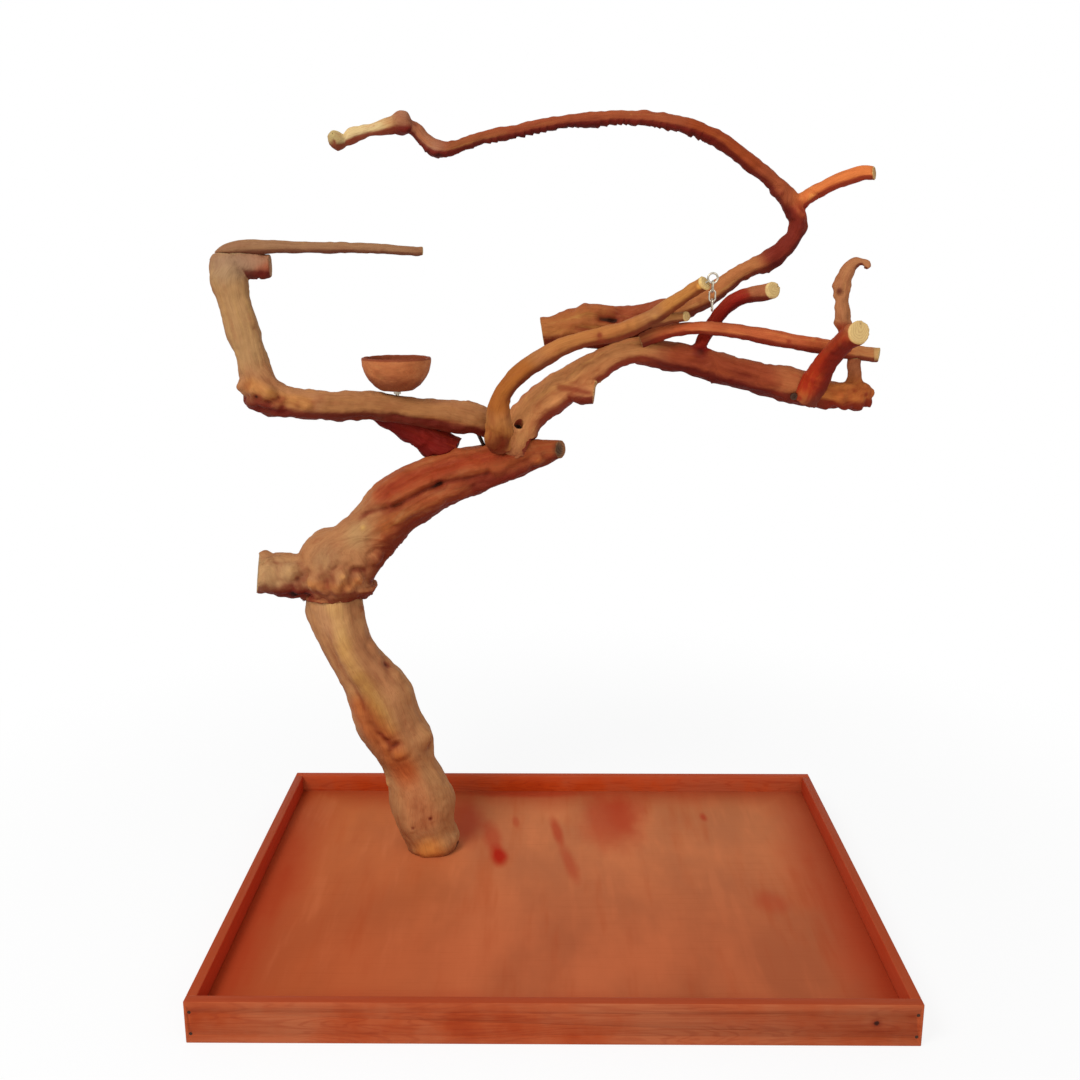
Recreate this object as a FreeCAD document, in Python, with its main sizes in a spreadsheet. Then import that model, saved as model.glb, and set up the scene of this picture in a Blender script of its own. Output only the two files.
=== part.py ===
"""Parrot play stand: coffee-wood branches screwed together into a tree, on a shallow timber tray.

Frame: X to the right, Y to the back, Z up, in millimetres.
The origin is the centre of the tray's underside, on the middle batten.
"""
import FreeCAD
import Part
import math
import os
from FreeCAD import Placement, Rotation, Vector

doc = FreeCAD.newDocument("ParrotPlayStand")
sheet = doc.addObject("Spreadsheet::Sheet", "Sizes")

RIGHT = Vector(1, 0, 0)
BACK = Vector(0, 1, 0)
UP = Vector(0, 0, 1)
UPRIGHT = Rotation()

# ---------------------------------------------------------------- driving sizes

TRAY_SIZES = {
    "tray_width": (812, "outside, left to right"),
    "tray_depth": (584, "outside, front to back"),
    "rail_height": (52, "height of the four rails"),
    "rail_thickness": (12, "thickness of the rail boards"),
    "floor_drop": (25, "from the rails' top down to the floor"),
    "floor_thickness": (9, "plywood floor"),
    "batten_width": (45, "battens under the floor"),
    "batten_spacing": (290, "centre to centre"),
    "pad_depth": (150, "doubler under the trunk, front to back"),
    "foot_right": (-170, "trunk's foot, from the middle of the tray"),
    "foot_back": (104, "trunk's foot, from the middle of the tray"),
}

FASTENER_SIZES = {
    "nail_shank": (2.2, "diameter"),
    "nail_head": (4, "diameter"),
    "nail_head_thickness": (1, "let into the rail"),
    "nail_length": (38, "over all"),
    "nail_low": (12, "height of the lower corner nails"),
    "nail_high": (39, "height of the upper corner nails"),
    "floor_screw_shank": (3.5, "diameter"),
    "floor_screw_head": (7, "diameter of the countersunk head"),
    "floor_screw_head_height": (2.4, "height of the countersunk head"),
    "floor_screw_length": (24, "over all"),
    "floor_screw_spacing": (150, "along a batten"),
    "pad_screw_inset": (18, "from the doubler's edges"),
    "lag_shank": (8, "diameter of the bolts that hold the trunk"),
    "lag_length": (60, "under the head"),
    "lag_head_flats": (13, "across flats"),
    "lag_head_height": (5.3, "height of the hexagon"),
    "lag_circle": (19, "radius of the circle that the three bolts stand on"),
    "lag_washer_outer": (20, "diameter"),
    "lag_washer_thickness": (1.6, "thickness"),
    "lag_recess": (25, "diameter of the recess in the doubler"),
    "lag_recess_depth": (10, "depth of the recess in the doubler"),
    "stud_diameter": (10, "stud inside the trunk and the burl"),
    "stud_length": (100, "half of it in each"),
    "screw_shank": (5, "diameter of the screws that hold the branches"),
    "screw_head": (9, "diameter"),
    "screw_head_height": (3.5, "height of the head"),
    "screw_socket": (4, "hexagon socket, across flats"),
    "screw_socket_depth": (2, "depth of the socket"),
    "screw_bore": (10, "diameter of the bore that the head sits in"),
    "screw_bore_length": (18, "length of the bore, out past the bark"),
}

BOWL_SIZES = {
    "bowl_rim": (89, "outside diameter at the rim"),
    "bowl_foot": (40, "diameter of the flat under the bowl"),
    "bowl_height": (42, "foot to rim"),
    "bowl_wall": (4.5, "thickness of the wall"),
    "bowl_floor": (6, "thickness of the floor"),
    "bowl_right": (-4, "from the arm's fourth station to the bolt"),
    "bowl_gap": (7, "between the arm and the bowl"),
    "bowl_bolt": (5, "diameter of the hanger bolt"),
    "bolt_in_arm": (24, "depth of the hanger bolt in the arm"),
    "bolt_above_floor": (15, "the bolt's end, above the bowl's floor"),
    "running_fit": (0.08, "radial, between the bolt and what turns on it"),
    "jam_nut_flats": (8, "across flats"),
    "jam_nut_height": (4, "height of the nut"),
    "bowl_washer_outer": (16, "diameter of both washers"),
    "bowl_washer_thickness": (1, "thickness of both washers"),
    "wing_hub": (10, "diameter of the wing nut's hub"),
    "wing_hub_height": (6, "height of the wing nut's hub"),
    "wing_disc": (11, "diameter of each wing"),
    "wing_spread": (8, "from the bolt's axis to the wing's middle"),
    "wing_lift": (7, "height of the wing's middle above the nut's face"),
    "wing_thickness": (2, "thickness of each wing"),
}

CHAIN_SIZES = {
    "eye_ring": (12, "mean diameter of the screw eye's ring"),
    "eye_wire": (2.6, "diameter"),
    "eye_neck": (4, "between the branch's end and the ring"),
    "eye_shank": (26, "length of the shank in the wood"),
    "link_wire": (2.2, "diameter"),
    "link_length": (6.4, "between the centres of a link's two bends"),
    "link_width": (7.4, "mean width of a link"),
    "link_play": (0.3, "gap between two links' wires"),
}

# Natural wood. A branch is a row of stations along its heart. A station holds a step
# to the right, back and up from the station before it, and the wood's thickness
# across the view. The first step starts at the branch's root, a station of another
# branch, and so does the last one of a branch that lands on another.
# `depth` is the thickness from front to back as a share of the thickness across.
BRANCHES = {
    "trunk": {
        "depth": 0.92,
        "first_face": (0, 0, 1),
        "last_face": (0, 0, 1),
        "stations": [
            (0, 0, 0, 75), (-5, 0, 21, 83), (-9, 1, 37, 93), (-6, 1, 35, 87), (-11, 0, 32, 75),
            (-6, 0, 24, 84), (-19, -2, 39, 91), (-13, -2, 39, 89), (-22, -2, 42, 73),
            (-20, -2, 38, 70), (-11, 0, 32, 74), (-5, 0, 28, 77), (0, 0, 16, 70),
        ],
    },
    "limb": {
        "root": ("trunk", 11),
        "depth": 0.86,
        "first_face": (0, 0, 1),
        "stations": [
            (1, 0, 6, 84), (2, 0, 26, 108), (8, 0, 26, 104), (29, 2, 21, 80), (41, 2, 48, 79),
            (50, 2, 30, 76), (44, 2, 17, 68), (45, 2, 14, 60), (35, 0, 8, 51), (30, 0, 7, 37),
            (23, -2, 4, 24),
        ],
    },
    "burl_stub": {
        "root": ("limb", 1),
        "depth": 0.95,
        "stations": [(-12, -2, 3, 74), (-31, -8, 3, 63), (-32, -8, 5, 56), (-22, -6, 3, 50)],
    },
    "arm": {
        "root": ("limb", 7),
        "depth": 0.92,
        "stations": [
            (10, -2, 30, 40), (-40, -4, 30, 43), (-39, -4, 6, 40), (-51, -6, 8, 35),
            (-64, -8, 6, 39), (-50, -8, 1, 39), (-34, -4, 6, 45), (-26, -2, 15, 51),
            (-8, 2, 27, 43), (-9, 6, 33, 41), (-11, 6, 34, 42), (-8, 6, 31, 44),
            (-4, 4, 22, 46), (2, 2, 20, 33),
        ],
    },
    "arm_stub": {
        "root": ("arm", 12),
        "depth": 0.9,
        "stations": [(6, 1, 7, 35), (16, 1, 0, 32), (16, 2, -1, 30), (15, 1, 0, 28)],
    },
    "brace": {
        "root": ("limb", 6),
        "depth": 0.8,
        "stations": [
            (-7, 8, 28, 40), (-33, 0, 16, 45), (-32, -2, 20, 37), (-32, -4, 15, 26),
            (-20, -4, 10, 18),
        ],
    },
    "perch": {
        "root": ("arm", 13),
        "depth": 0.95,
        "stations": [
            (-14, -2, -3, 14), (12, 0, 7, 18), (20, 0, 4, 18), (48, 0, 1, 15), (51, -2, -1, 14),
            (63, -2, -1, 13), (45, -2, -3, 12), (21, -1, 0, 10),
        ],
    },
    "right_limb": {
        "root": ("limb", 7),
        "depth": 0.95,
        "stations": [
            (20, 2, 2, 48), (15, 4, 47, 50), (33, 2, 34, 47), (41, 2, 26, 45), (36, 2, 23, 37),
            (36, 0, 15, 35), (37, -2, -5, 37), (45, -6, -8, 39), (43, -8, -12, 40),
            (46, -8, -10, 43), (38, -4, -10, 44), (39, -2, -9, 39), (32, 0, -2, 37),
            (28, 2, 2, 14),
        ],
    },
    "snag": {
        "root": ("right_limb", 3),
        "depth": 0.9,
        "stations": [(-14, -6, -4, 40), (19, -4, -10, 35), (18, -2, -2, 29)],
    },
    "prong": {
        "root": ("right_limb", 7),
        "depth": 0.95,
        "stations": [
            (2, 0, 4, 31), (8, 2, 25, 17), (12, 2, 20, 19), (18, 0, 22, 19), (28, -6, 13, 20),
            (28, -7, 7, 20),
        ],
    },
    "spike": {
        "root": ("right_limb", 12),
        "depth": 0.9,
        "stations": [(2, 2, 1, 34), (2, 2, 19, 23), (-1, 0, 15, 19), (-1, -1, 14, 18)],
    },
    "climber": {
        "root": ("limb", 7),
        "depth": 0.95,
        "last_face": (0.85, 0, 0.53),
        "stations": [
            (13, -16, 28, 37), (-6, -12, 12, 36), (1, -12, 25, 32), (2, -4, 24, 25),
            (15, 0, 24, 24), (29, 2, 23, 23), (33, 4, 18, 23), (38, 6, 12, 21), (41, 4, 9, 22),
            (32, 0, 14, 19), (30, -4, 19, 18), (23, -6, 16, 17), (16, -3, 10, 19),
        ],
    },
    "climber_stub": {
        "root": ("climber", 9),
        "depth": 0.95,
        "stations": [(3, 2, -4, 14), (23, 4, 4, 14), (24, 2, 3, 13)],
    },
    "arch": {
        "root": ("right_limb", 4),
        "depth": 0.95,
        "stations": [
            (-82, 12, 38, 38), (31, 0, 5, 47), (35, 0, 1, 55), (40, 0, 2, 50), (39, 2, 11, 38),
            (44, 2, 15, 33), (38, 2, 19, 27), (36, 0, 25, 25), (36, 0, 15, 25), (21, 0, 21, 23),
            (9, -1, 25, 25), (-9, -1, 21, 26), (-22, -2, 25, 22), (-35, -2, 26, 21),
            (-32, -4, 23, 20), (-32, -6, 15, 20), (-42, -6, 10, 19), (-44, -6, 4, 17),
            (-46, -6, -2, 16), (-51, -8, -6, 16), (-48, -8, -10, 15), (-46, -8, -10, 15),
            (-31, -4, -10, 17), (-16, -2, -2, 21), (-15, -2, 9, 17), (-14, -2, 14, 17),
            (-14, -2, 6, 23), (-21, -2, -4, 16), (-26, -2, -6, 16), (-20, -2, -8, 17),
            (-14, -2, -3, 25),
        ],
    },
    "arch_fork": {
        "root": ("arch", 11),
        "depth": 0.95,
        "stations": [
            (1, 0, -5, 24), (19, -2, 14, 20), (21, -6, 13, 19), (19, -8, 8, 19), (19, -8, 6, 19),
            (16, -6, 0, 17),
        ],
    },
    "cross": {
        "root": ("right_limb", 6),
        "depth": 0.97,
        "lands_on": ("spike", 3),
        "stations": [
            (-28, -16, 18, 17), (32, -4, 12, 17), (44, -5, 5, 17), (51, -1, -5, 19),
            (51, 0, -9, 19), (51, 0, -9, 19), (39, 0, -7, 19), (31, -1, 3, 19),
        ],
    },
    "stub": {
        "root": ("right_limb", 11),
        "depth": 0.95,
        "last_face": (0.3, -0.93, 0.2),
        "stations": [
            (-32, -6, -4, 40), (14, -12, 25, 34), (10, -16, 24, 28), (9, -20, 20, 27),
            (18, -22, 19, 28),
        ],
    },
    "twig": {
        "root": ("stub", 3),
        "depth": 0.9,
        "stations": [
            (4, 6, -3, 22), (2, 3, 25, 20), (-4, 3, 22, 18), (-1, 2, 14, 19), (1, 1, 13, 23),
            (3, 0, 13, 19), (8, -1, 13, 15), (11, -3, 4, 10), (7, -2, -9, 9),
        ],
    },
}

# Screws that hold the branches. The head's seat is stated from a station's heart,
# then the way that the screw is driven, and its length under the head.
SCREWS = {
    "arm_screw": (("arm", 1), (-5, 0, 12), (0.4, 0.05, -0.9), 70),
    "brace_screw": (("brace", 2), (0, 3, -12), (0, -0.3, 1), 45),
    "climber_screw": (("limb", 7), (-3, 0, -20), (0.02, -0.35, 0.93), 66),
    "junction_screw": (("right_limb", 1), (-4, -16, -2), (-0.2, 0.6, -0.77), 45),
    "perch_screw": (("arm_stub", 2), (0, 0, -8), (0, 0, 1), 30),
    "arch_screw_left": (("right_limb", 4), (0, 2, -10), (0, 0.1, 1), 58),
    "arch_screw_right": (("right_limb", 5), (0, 2, -9), (0, 0.1, 1), 54),
    "cross_screw_left": (("right_limb", 5), (15, 8, -6), (0, -0.75, 0.66), 34),
    "cross_screw_right": (("cross", 6), (5, 1, 6), (0, 0, -1), 32),
    "stub_screw": (("stub", 0), (-13, -11, 3), (0.1, 1, 0), 34),
}

# Each wooden piece of the tree: the branches that it is grown from, and the pieces
# that its ends are coped to.
TREE = {
    "lower_trunk": (["trunk"], []),
    "main_limb": (["limb", "burl_stub"], ["lower_trunk"]),
    "left_arm": (["arm", "arm_stub"], ["main_limb"]),
    "arm_brace": (["brace"], ["main_limb", "left_arm"]),
    "left_perch": (["perch"], ["left_arm"]),
    "right_limb": (["right_limb", "snag", "prong", "spike"], ["main_limb", "left_arm"]),
    "climbing_branch": (["climber", "climber_stub"], ["main_limb", "left_arm", "right_limb"]),
    "arch_branch": (["arch", "arch_fork"], ["right_limb", "climbing_branch"]),
    "cross_perch": (["cross"], ["right_limb", "climbing_branch"]),
    "end_stub": (["stub", "twig"], ["right_limb"]),
}


def put_row(row, label, values, aliases, note=""):
    """Writes one row of the sheet, with an alias for each value."""
    sheet.set(f"A{row}", label)
    for column, value, alias in zip("BCDE", values, aliases):
        sheet.set(f"{column}{row}", str(value))
        sheet.setAlias(f"{column}{row}", alias)
    sheet.set(f"F{row}", note)


def put_sizes():
    """Writes every driving size into the sheet."""
    row = 1
    for group in (TRAY_SIZES, FASTENER_SIZES, BOWL_SIZES, CHAIN_SIZES):
        for alias, (value, note) in group.items():
            put_row(row, alias, [value], [alias], note)
            row += 1
    for name, branch in BRANCHES.items():
        put_row(row, name, [branch["depth"]], [f"{name}_depth"], "share")
        row += 1
        for i, station in enumerate(branch["stations"]):
            aliases = [f"{name}_{i}_{word}" for word in ("right", "back", "up", "thick")]
            put_row(row, f"{name}, station {i}", station, aliases)
            row += 1
    for name, (_, _, _, length) in SCREWS.items():
        put_row(row, name, [length], [f"{name}_length"], "under the head")
        row += 1
    doc.recompute()


def size(alias):
    return float(sheet.get(alias))


put_sizes()

# ---------------------------------------------------------------- helpers


def bound(obj, **expressions):
    """Binds an object's dimensions to the sheet."""
    for dimension, expression in expressions.items():
        obj.setExpression(dimension, expression)
    return obj


def box(name, place, length, width, height):
    obj = doc.addObject("Part::Box", name)
    obj.Placement = Placement(place, UPRIGHT)
    return bound(obj, Length=length, Width=width, Height=height)


def rod(name, place, way, diameter, height):
    """A cylinder that starts at place and runs along way."""
    obj = doc.addObject("Part::Cylinder", name)
    obj.Placement = Placement(place, Rotation(UP, way))
    return bound(obj, Radius=f"({diameter}) / 2", Height=height)


def hexagon(name, place, way, flats, height):
    obj = doc.addObject("Part::Prism", name)
    obj.Polygon = 6
    obj.Placement = Placement(place, Rotation(UP, way))
    return bound(obj, Circumradius=f"({flats}) / 2 / cos(30 deg)", Height=height)


def join(name, pieces):
    obj = doc.addObject("Part::MultiFuse", name)
    obj.Shapes = pieces
    return obj


def group(name, pieces):
    """Several separate solids that count as one piece, such as a set of screws."""
    obj = doc.addObject("Part::Compound", name)
    obj.Links = pieces
    return obj


def cut(name, base, tools):
    """Takes each tool from the base in turn."""
    for i, tool in enumerate(tools):
        obj = doc.addObject("Part::Cut", f"{name}_cut_{i}")
        obj.Base = base
        obj.Tool = tool
        base = obj
    return base


NODES = []


def node(label, obj):
    obj.Label = label
    NODES.append(obj)
    return obj


# ---------------------------------------------------------------- the tree's shape

HEARTS = {}
RINGS = {}


def grow(name):
    """Lays out a branch's stations, then lofts the wood through an ellipse at each."""
    branch = BRANCHES[name]
    count = len(branch["stations"])
    if "root" in branch:
        place = HEARTS[branch["root"][0]][branch["root"][1]]
    else:
        floor_top = size("rail_height") - size("floor_drop")
        place = Vector(size("foot_right"), size("foot_back"), floor_top)
    points = []
    for i in range(count):
        if i == count - 1 and "lands_on" in branch:
            place = HEARTS[branch["lands_on"][0]][branch["lands_on"][1]]
        place = place + Vector(*(size(f"{name}_{i}_{word}") for word in ("right", "back", "up")))
        points.append(place)
    HEARTS[name] = points

    ways = [points[min(i + 1, count - 1)] - points[max(i - 1, 0)] for i in range(count)]
    ways[0] = Vector(*branch.get("first_face", ways[0]))
    ways[-1] = Vector(*branch.get("last_face", ways[-1]))
    rings = []
    for i, (point, way) in enumerate(zip(points, ways)):
        ring = doc.addObject("Part::Ellipse", f"{name}_ring_{i}")
        across = BACK.cross(way)
        ring.Placement = Placement(point, Rotation(across, way.cross(across), way, "ZXY"))
        radius = f"Sizes.{name}_{i}_thick / 2"
        rings.append(bound(ring, MajorRadius=radius, MinorRadius=f"{radius} * Sizes.{name}_depth"))
    loft = doc.addObject("Part::Loft", f"{name}_wood")
    loft.Sections = rings
    loft.Solid = True
    return loft


GROWN = {name: grow(name) for name in BRANCHES}

# ---------------------------------------------------------------- fasteners of the tree


def branch_screw(name):
    """A screw with a socket head, and the hole that it needs with the bore over its head."""
    (branch, station), offset, way, _ = SCREWS[name]
    seat = HEARTS[branch][station] + Vector(*offset)
    way = Vector(*way).normalize()
    top = seat - way * size("screw_head_height")
    shank = rod(f"{name}_shank", seat, way, "Sizes.screw_shank", f"Sizes.{name}_length")
    head = rod(f"{name}_head", top, way, "Sizes.screw_head", "Sizes.screw_head_height")
    socket = hexagon(f"{name}_socket", top, way, "Sizes.screw_socket", "Sizes.screw_socket_depth")
    screw = cut(name, join(f"{name}_body", [shank, head]), [socket])
    bore = rod(f"{name}_bore", seat, way * -1, "Sizes.screw_bore", "Sizes.screw_bore_length")
    return screw, join(f"{name}_hole", [shank, bore])


screws, screw_holes = zip(*(branch_screw(name) for name in SCREWS))
all_screw_holes = group("all_screw_holes", list(screw_holes))

stud_middle = HEARTS["trunk"][-1]
stud = rod("stud", stud_middle - UP * size("stud_length") / 2, UP,
           "Sizes.stud_diameter", "Sizes.stud_length")

# Three lag bolts come up through the doubler and the floor into the trunk.
batten_height = "(Sizes.rail_height - Sizes.floor_drop - Sizes.floor_thickness)"
foot = Vector(size("foot_right"), size("foot_back"), 0)
lag_seat = size("lag_recess_depth") - size("lag_washer_thickness")
lag_bolts = []
lag_washers = []
lag_recesses = []
for i in range(3):
    angle = math.radians(90 + 120 * i)
    spot = foot + Vector(math.cos(angle), math.sin(angle), 0) * size("lag_circle")
    seat = spot + UP * lag_seat
    shank = rod(f"lag_shank_{i}", seat, UP, "Sizes.lag_shank", "Sizes.lag_length")
    head = hexagon(f"lag_head_{i}", seat - UP * size("lag_head_height"), UP,
                   "Sizes.lag_head_flats", "Sizes.lag_head_height")
    lag_bolts.append(join(f"lag_bolt_{i}", [shank, head]))
    disc = rod(f"lag_disc_{i}", seat, UP, "Sizes.lag_washer_outer", "Sizes.lag_washer_thickness")
    lag_washers.append(cut(f"lag_washer_{i}", disc, [shank]))
    lag_recesses.append(rod(f"lag_recess_{i}", spot, UP, "Sizes.lag_recess",
                            "Sizes.lag_recess_depth"))
lag_bolt_set = group("lag_bolt_set", lag_bolts)

# ---------------------------------------------------------------- the bowl's bolt

arm_top = HEARTS["arm"][3] + RIGHT * size("bowl_right") + UP * size("arm_3_thick") / 2
bowl_foot = arm_top + UP * size("bowl_gap")
bolt_foot = arm_top - UP * size("bolt_in_arm")
hanger_bolt = rod("hanger_bolt", bolt_foot, UP, "Sizes.bowl_bolt",
                  "Sizes.bolt_in_arm + Sizes.bowl_gap + Sizes.bowl_floor + Sizes.bolt_above_floor")

# ---------------------------------------------------------------- the screw eye

eye_way = Vector(*BRANCHES["climber"]["last_face"]).normalize()
branch_end = HEARTS["climber"][-1]
eye_radius = size("eye_ring") / 2
eye_centre = branch_end + eye_way * (size("eye_neck") + eye_radius)
eye_loop = doc.addObject("Part::Torus", "eye_loop")
eye_loop.Placement = Placement(eye_centre, Rotation(UP, BACK))
bound(eye_loop, Radius1="Sizes.eye_ring / 2", Radius2="Sizes.eye_wire / 2")
eye_stem = rod("eye_stem", eye_centre - eye_way * eye_radius, eye_way * -1,
               "Sizes.eye_wire", "Sizes.eye_neck + Sizes.eye_shank")

# ---------------------------------------------------------------- wooden pieces of the tree

OTHER_HOLES = {
    "lower_trunk": [lag_bolt_set, stud],
    "main_limb": [stud],
    "left_arm": [hanger_bolt],
    "climbing_branch": [eye_stem],
}
COPED = {}
for name, (branches, coped_to) in TREE.items():
    grown = [GROWN[branch] for branch in branches]
    whole = join(f"{name}_grown", grown) if len(grown) > 1 else grown[0]
    COPED[name] = cut(f"{name}_coped", whole, [COPED[other] for other in coped_to])
    node(name, cut(name, COPED[name], OTHER_HOLES.get(name, []) + [all_screw_holes]))

node("trunk_stud", stud)
node("branch_screws", group("branch_screw_set", list(screws)))

# ---------------------------------------------------------------- the tray

half_width = size("tray_width") / 2
half_depth = size("tray_depth") / 2
rail = size("rail_thickness")
floor_under = size("rail_height") - size("floor_drop") - size("floor_thickness")
inside_width = "Sizes.tray_width - 2 * Sizes.rail_thickness"
inside_depth = "Sizes.tray_depth - 2 * Sizes.rail_thickness"


def corner_nail(name, place, way):
    """A nail whose head is let into the face that it is driven through."""
    shank = rod(f"{name}_shank", place, way, "Sizes.nail_shank", "Sizes.nail_length")
    head = rod(f"{name}_head", place, way, "Sizes.nail_head", "Sizes.nail_head_thickness")
    return join(name, [shank, head])


nails = []
for side in (-1, 1):
    for face in (-1, 1):
        for level in ("nail_low", "nail_high"):
            spot = Vector(side * (half_width - rail / 2), face * half_depth, size(level))
            nails.append(corner_nail(f"nail_{len(nails)}", spot, BACK * -face))
nail_set = group("nail_set", nails)


def floor_screw(name, place):
    """A countersunk screw, driven up from the underside."""
    shank = rod(f"{name}_shank", place, UP, "Sizes.floor_screw_shank", "Sizes.floor_screw_length")
    head = doc.addObject("Part::Cone", f"{name}_head")
    head.Placement = Placement(place, UPRIGHT)
    bound(head, Radius1="Sizes.floor_screw_head / 2", Radius2="Sizes.floor_screw_shank / 2",
          Height="Sizes.floor_screw_head_height")
    return join(name, [shank, head])


batten_places = [-size("batten_spacing"), 0, size("batten_spacing")]
floor_screws = []
for across in batten_places:
    for share in (-1.5, -0.5, 0.5, 1.5):
        spot = Vector(across, share * size("floor_screw_spacing"), 0)
        floor_screws.append(floor_screw(f"floor_screw_{len(floor_screws)}", spot))

pad_left = -size("batten_spacing") + size("batten_width") / 2
pad_right = -size("batten_width") / 2
pad_front = size("foot_back") - size("pad_depth") / 2
pad_back = size("foot_back") + size("pad_depth") / 2
inset = size("pad_screw_inset")
for across in (pad_left + inset, pad_right - inset):
    for along in (pad_front + inset, pad_back - inset):
        spot = Vector(across, along, 0)
        floor_screws.append(floor_screw(f"floor_screw_{len(floor_screws)}", spot))
floor_screw_set = group("floor_screw_set", floor_screws)

for name, place in (("front_rail", -half_depth), ("back_rail", half_depth - rail)):
    board = box(f"{name}_board", Vector(-half_width, place, 0),
                "Sizes.tray_width", "Sizes.rail_thickness", "Sizes.rail_height")
    node(name, cut(name, board, [nail_set]))
for name, place in (("left_rail", -half_width), ("right_rail", half_width - rail)):
    board = box(f"{name}_board", Vector(place, rail - half_depth, 0),
                "Sizes.rail_thickness", inside_depth, "Sizes.rail_height")
    node(name, cut(name, board, [nail_set]))
node("corner_nails", nail_set)

panel = box("panel_board", Vector(rail - half_width, rail - half_depth, floor_under),
            inside_width, inside_depth, "Sizes.floor_thickness")
node("floor_panel", cut("floor_panel", panel, [floor_screw_set, lag_bolt_set]))
for name, across in zip(("left_batten", "middle_batten", "right_batten"), batten_places):
    place = Vector(across - size("batten_width") / 2, rail - half_depth, 0)
    board = box(f"{name}_board", place, "Sizes.batten_width", inside_depth, batten_height)
    node(name, cut(name, board, [floor_screw_set]))
pad = box("pad_board", Vector(pad_left, pad_front, 0),
          "Sizes.batten_spacing - Sizes.batten_width", "Sizes.pad_depth", batten_height)
node("trunk_pad", cut("trunk_pad", pad, [floor_screw_set, lag_bolt_set] + lag_recesses))
node("floor_screws", floor_screw_set)
node("lag_bolts", lag_bolt_set)
node("lag_washers", group("lag_washer_set", lag_washers))

# ---------------------------------------------------------------- the bowl

bolt_hole = "Sizes.bowl_bolt + 2 * Sizes.running_fit"


def ring_on_bolt(name, place, outer, height):
    """A washer or hub on the bowl's bolt."""
    disc = rod(f"{name}_disc", place, UP, outer, height)
    return cut(name, disc, [rod(f"{name}_hole", place, UP, bolt_hole, height)])


# The bowl is a slice of a ball: the ball's centre lies where both the rim and the foot fit.
rim = size("bowl_rim") / 2
foot_radius = size("bowl_foot") / 2
deep = size("bowl_height")
ball_centre = (rim ** 2 - foot_radius ** 2 + deep ** 2) / (2 * deep)
ball = math.hypot(foot_radius, ball_centre)
hollow = ball - size("bowl_wall")
for name, radius, low in (("bowl_ball", ball, -ball_centre),
                          ("bowl_hollow", hollow, size("bowl_floor") - ball_centre)):
    slice_of_ball = doc.addObject("Part::Sphere", name)
    slice_of_ball.Radius = radius
    slice_of_ball.Angle1 = math.degrees(math.asin(low / radius))
    slice_of_ball.Angle2 = math.degrees(math.asin((deep - ball_centre) / radius))
    slice_of_ball.Placement = Placement(bowl_foot + UP * ball_centre, UPRIGHT)
bowl_drill = rod("bowl_drill", bowl_foot, UP, bolt_hole, "Sizes.bowl_floor")
node("bowl", cut("bowl", doc.bowl_ball, [doc.bowl_hollow, bowl_drill]))
node("hanger_bolt", hanger_bolt)

lower_washer_place = bowl_foot - UP * size("bowl_washer_thickness")
node("bowl_rest_washer", ring_on_bolt("rest_washer", lower_washer_place,
                                      "Sizes.bowl_washer_outer", "Sizes.bowl_washer_thickness"))
jam_place = lower_washer_place - UP * size("jam_nut_height")
jam_body = hexagon("jam_body", jam_place, UP, "Sizes.jam_nut_flats", "Sizes.jam_nut_height")
node("jam_nut", cut("jam_nut", jam_body, [hanger_bolt]))

bowl_inside = bowl_foot + UP * size("bowl_floor")
node("captive_washer", ring_on_bolt("top_washer", bowl_inside,
                                    "Sizes.bowl_washer_outer", "Sizes.bowl_washer_thickness"))
nut_face = bowl_inside + UP * size("bowl_washer_thickness")
wing_parts = [rod("wing_hub", nut_face, UP, "Sizes.wing_hub", "Sizes.wing_hub_height")]
for side in (-1, 1):
    middle = nut_face + RIGHT * side * size("wing_spread") + UP * size("wing_lift")
    start = middle - BACK * size("wing_thickness") / 2
    wing_parts.append(rod(f"wing_{side + 1}", start, BACK, "Sizes.wing_disc",
                          "Sizes.wing_thickness"))
thread = rod("wing_thread", nut_face, UP, bolt_hole, "Sizes.wing_lift + Sizes.wing_disc")
node("wing_nut", cut("wing_nut", join("wing_body", wing_parts), [thread]))

# ---------------------------------------------------------------- the toy chain

node("screw_eye", join("screw_eye", [eye_loop, eye_stem]))


def chain_link(name, middle, turn):
    """A welded link that stands upright, turned about the vertical."""
    bend = size("link_width") / 2
    straight = size("link_length") / 2
    spin = Rotation(UP, turn)
    pieces = []
    for side, roll in ((1, 90), (-1, -90)):
        arc = doc.addObject("Part::Torus", f"{name}_bend_{roll + 90}")
        place = middle + UP * side * straight
        arc.Placement = Placement(place, spin * Rotation(RIGHT, roll))
        arc.Angle3 = 180
        pieces.append(bound(arc, Radius1="Sizes.link_width / 2", Radius2="Sizes.link_wire / 2"))
        foot_place = middle + spin.multVec(RIGHT) * side * bend - UP * straight
        pieces.append(rod(f"{name}_side_{roll + 90}", foot_place, UP,
                          "Sizes.link_wire", "Sizes.link_length"))
    return join(name, pieces)


link_reach = size("link_length") / 2 + size("link_width") / 2
held_by = eye_centre - UP * eye_radius
lift = (size("eye_wire") + size("link_wire")) / 2 + size("link_play")
for name, turn in (("link_top", 90), ("link_middle", 0), ("link_bottom", 90)):
    middle = held_by + UP * (lift - link_reach)
    node(name, chain_link(name, middle, turn))
    held_by = middle - UP * link_reach
    lift = size("link_wire") + size("link_play")

# ---------------------------------------------------------------- check and export

doc.recompute()
for obj in doc.Objects:
    if "Invalid" in obj.State or "Error" in obj.State:
        raise RuntimeError(f"{obj.Label}: {obj.State}")
os.makedirs("parts", exist_ok=True)
for obj in NODES:
    if obj.Shape.isNull() or not obj.Shape.isValid():
        raise RuntimeError(f"{obj.Label} has no sound shape")
    obj.Shape.exportStep(f"parts/{obj.Label}.step")
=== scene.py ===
"""Dresses the packed parrot play stand: carved branches, a stained tray, a turned bowl, steel fittings.

Lengths are in metres and colours are linear; dye() turns a paint chart's 0-255 values into them.
"""

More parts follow.
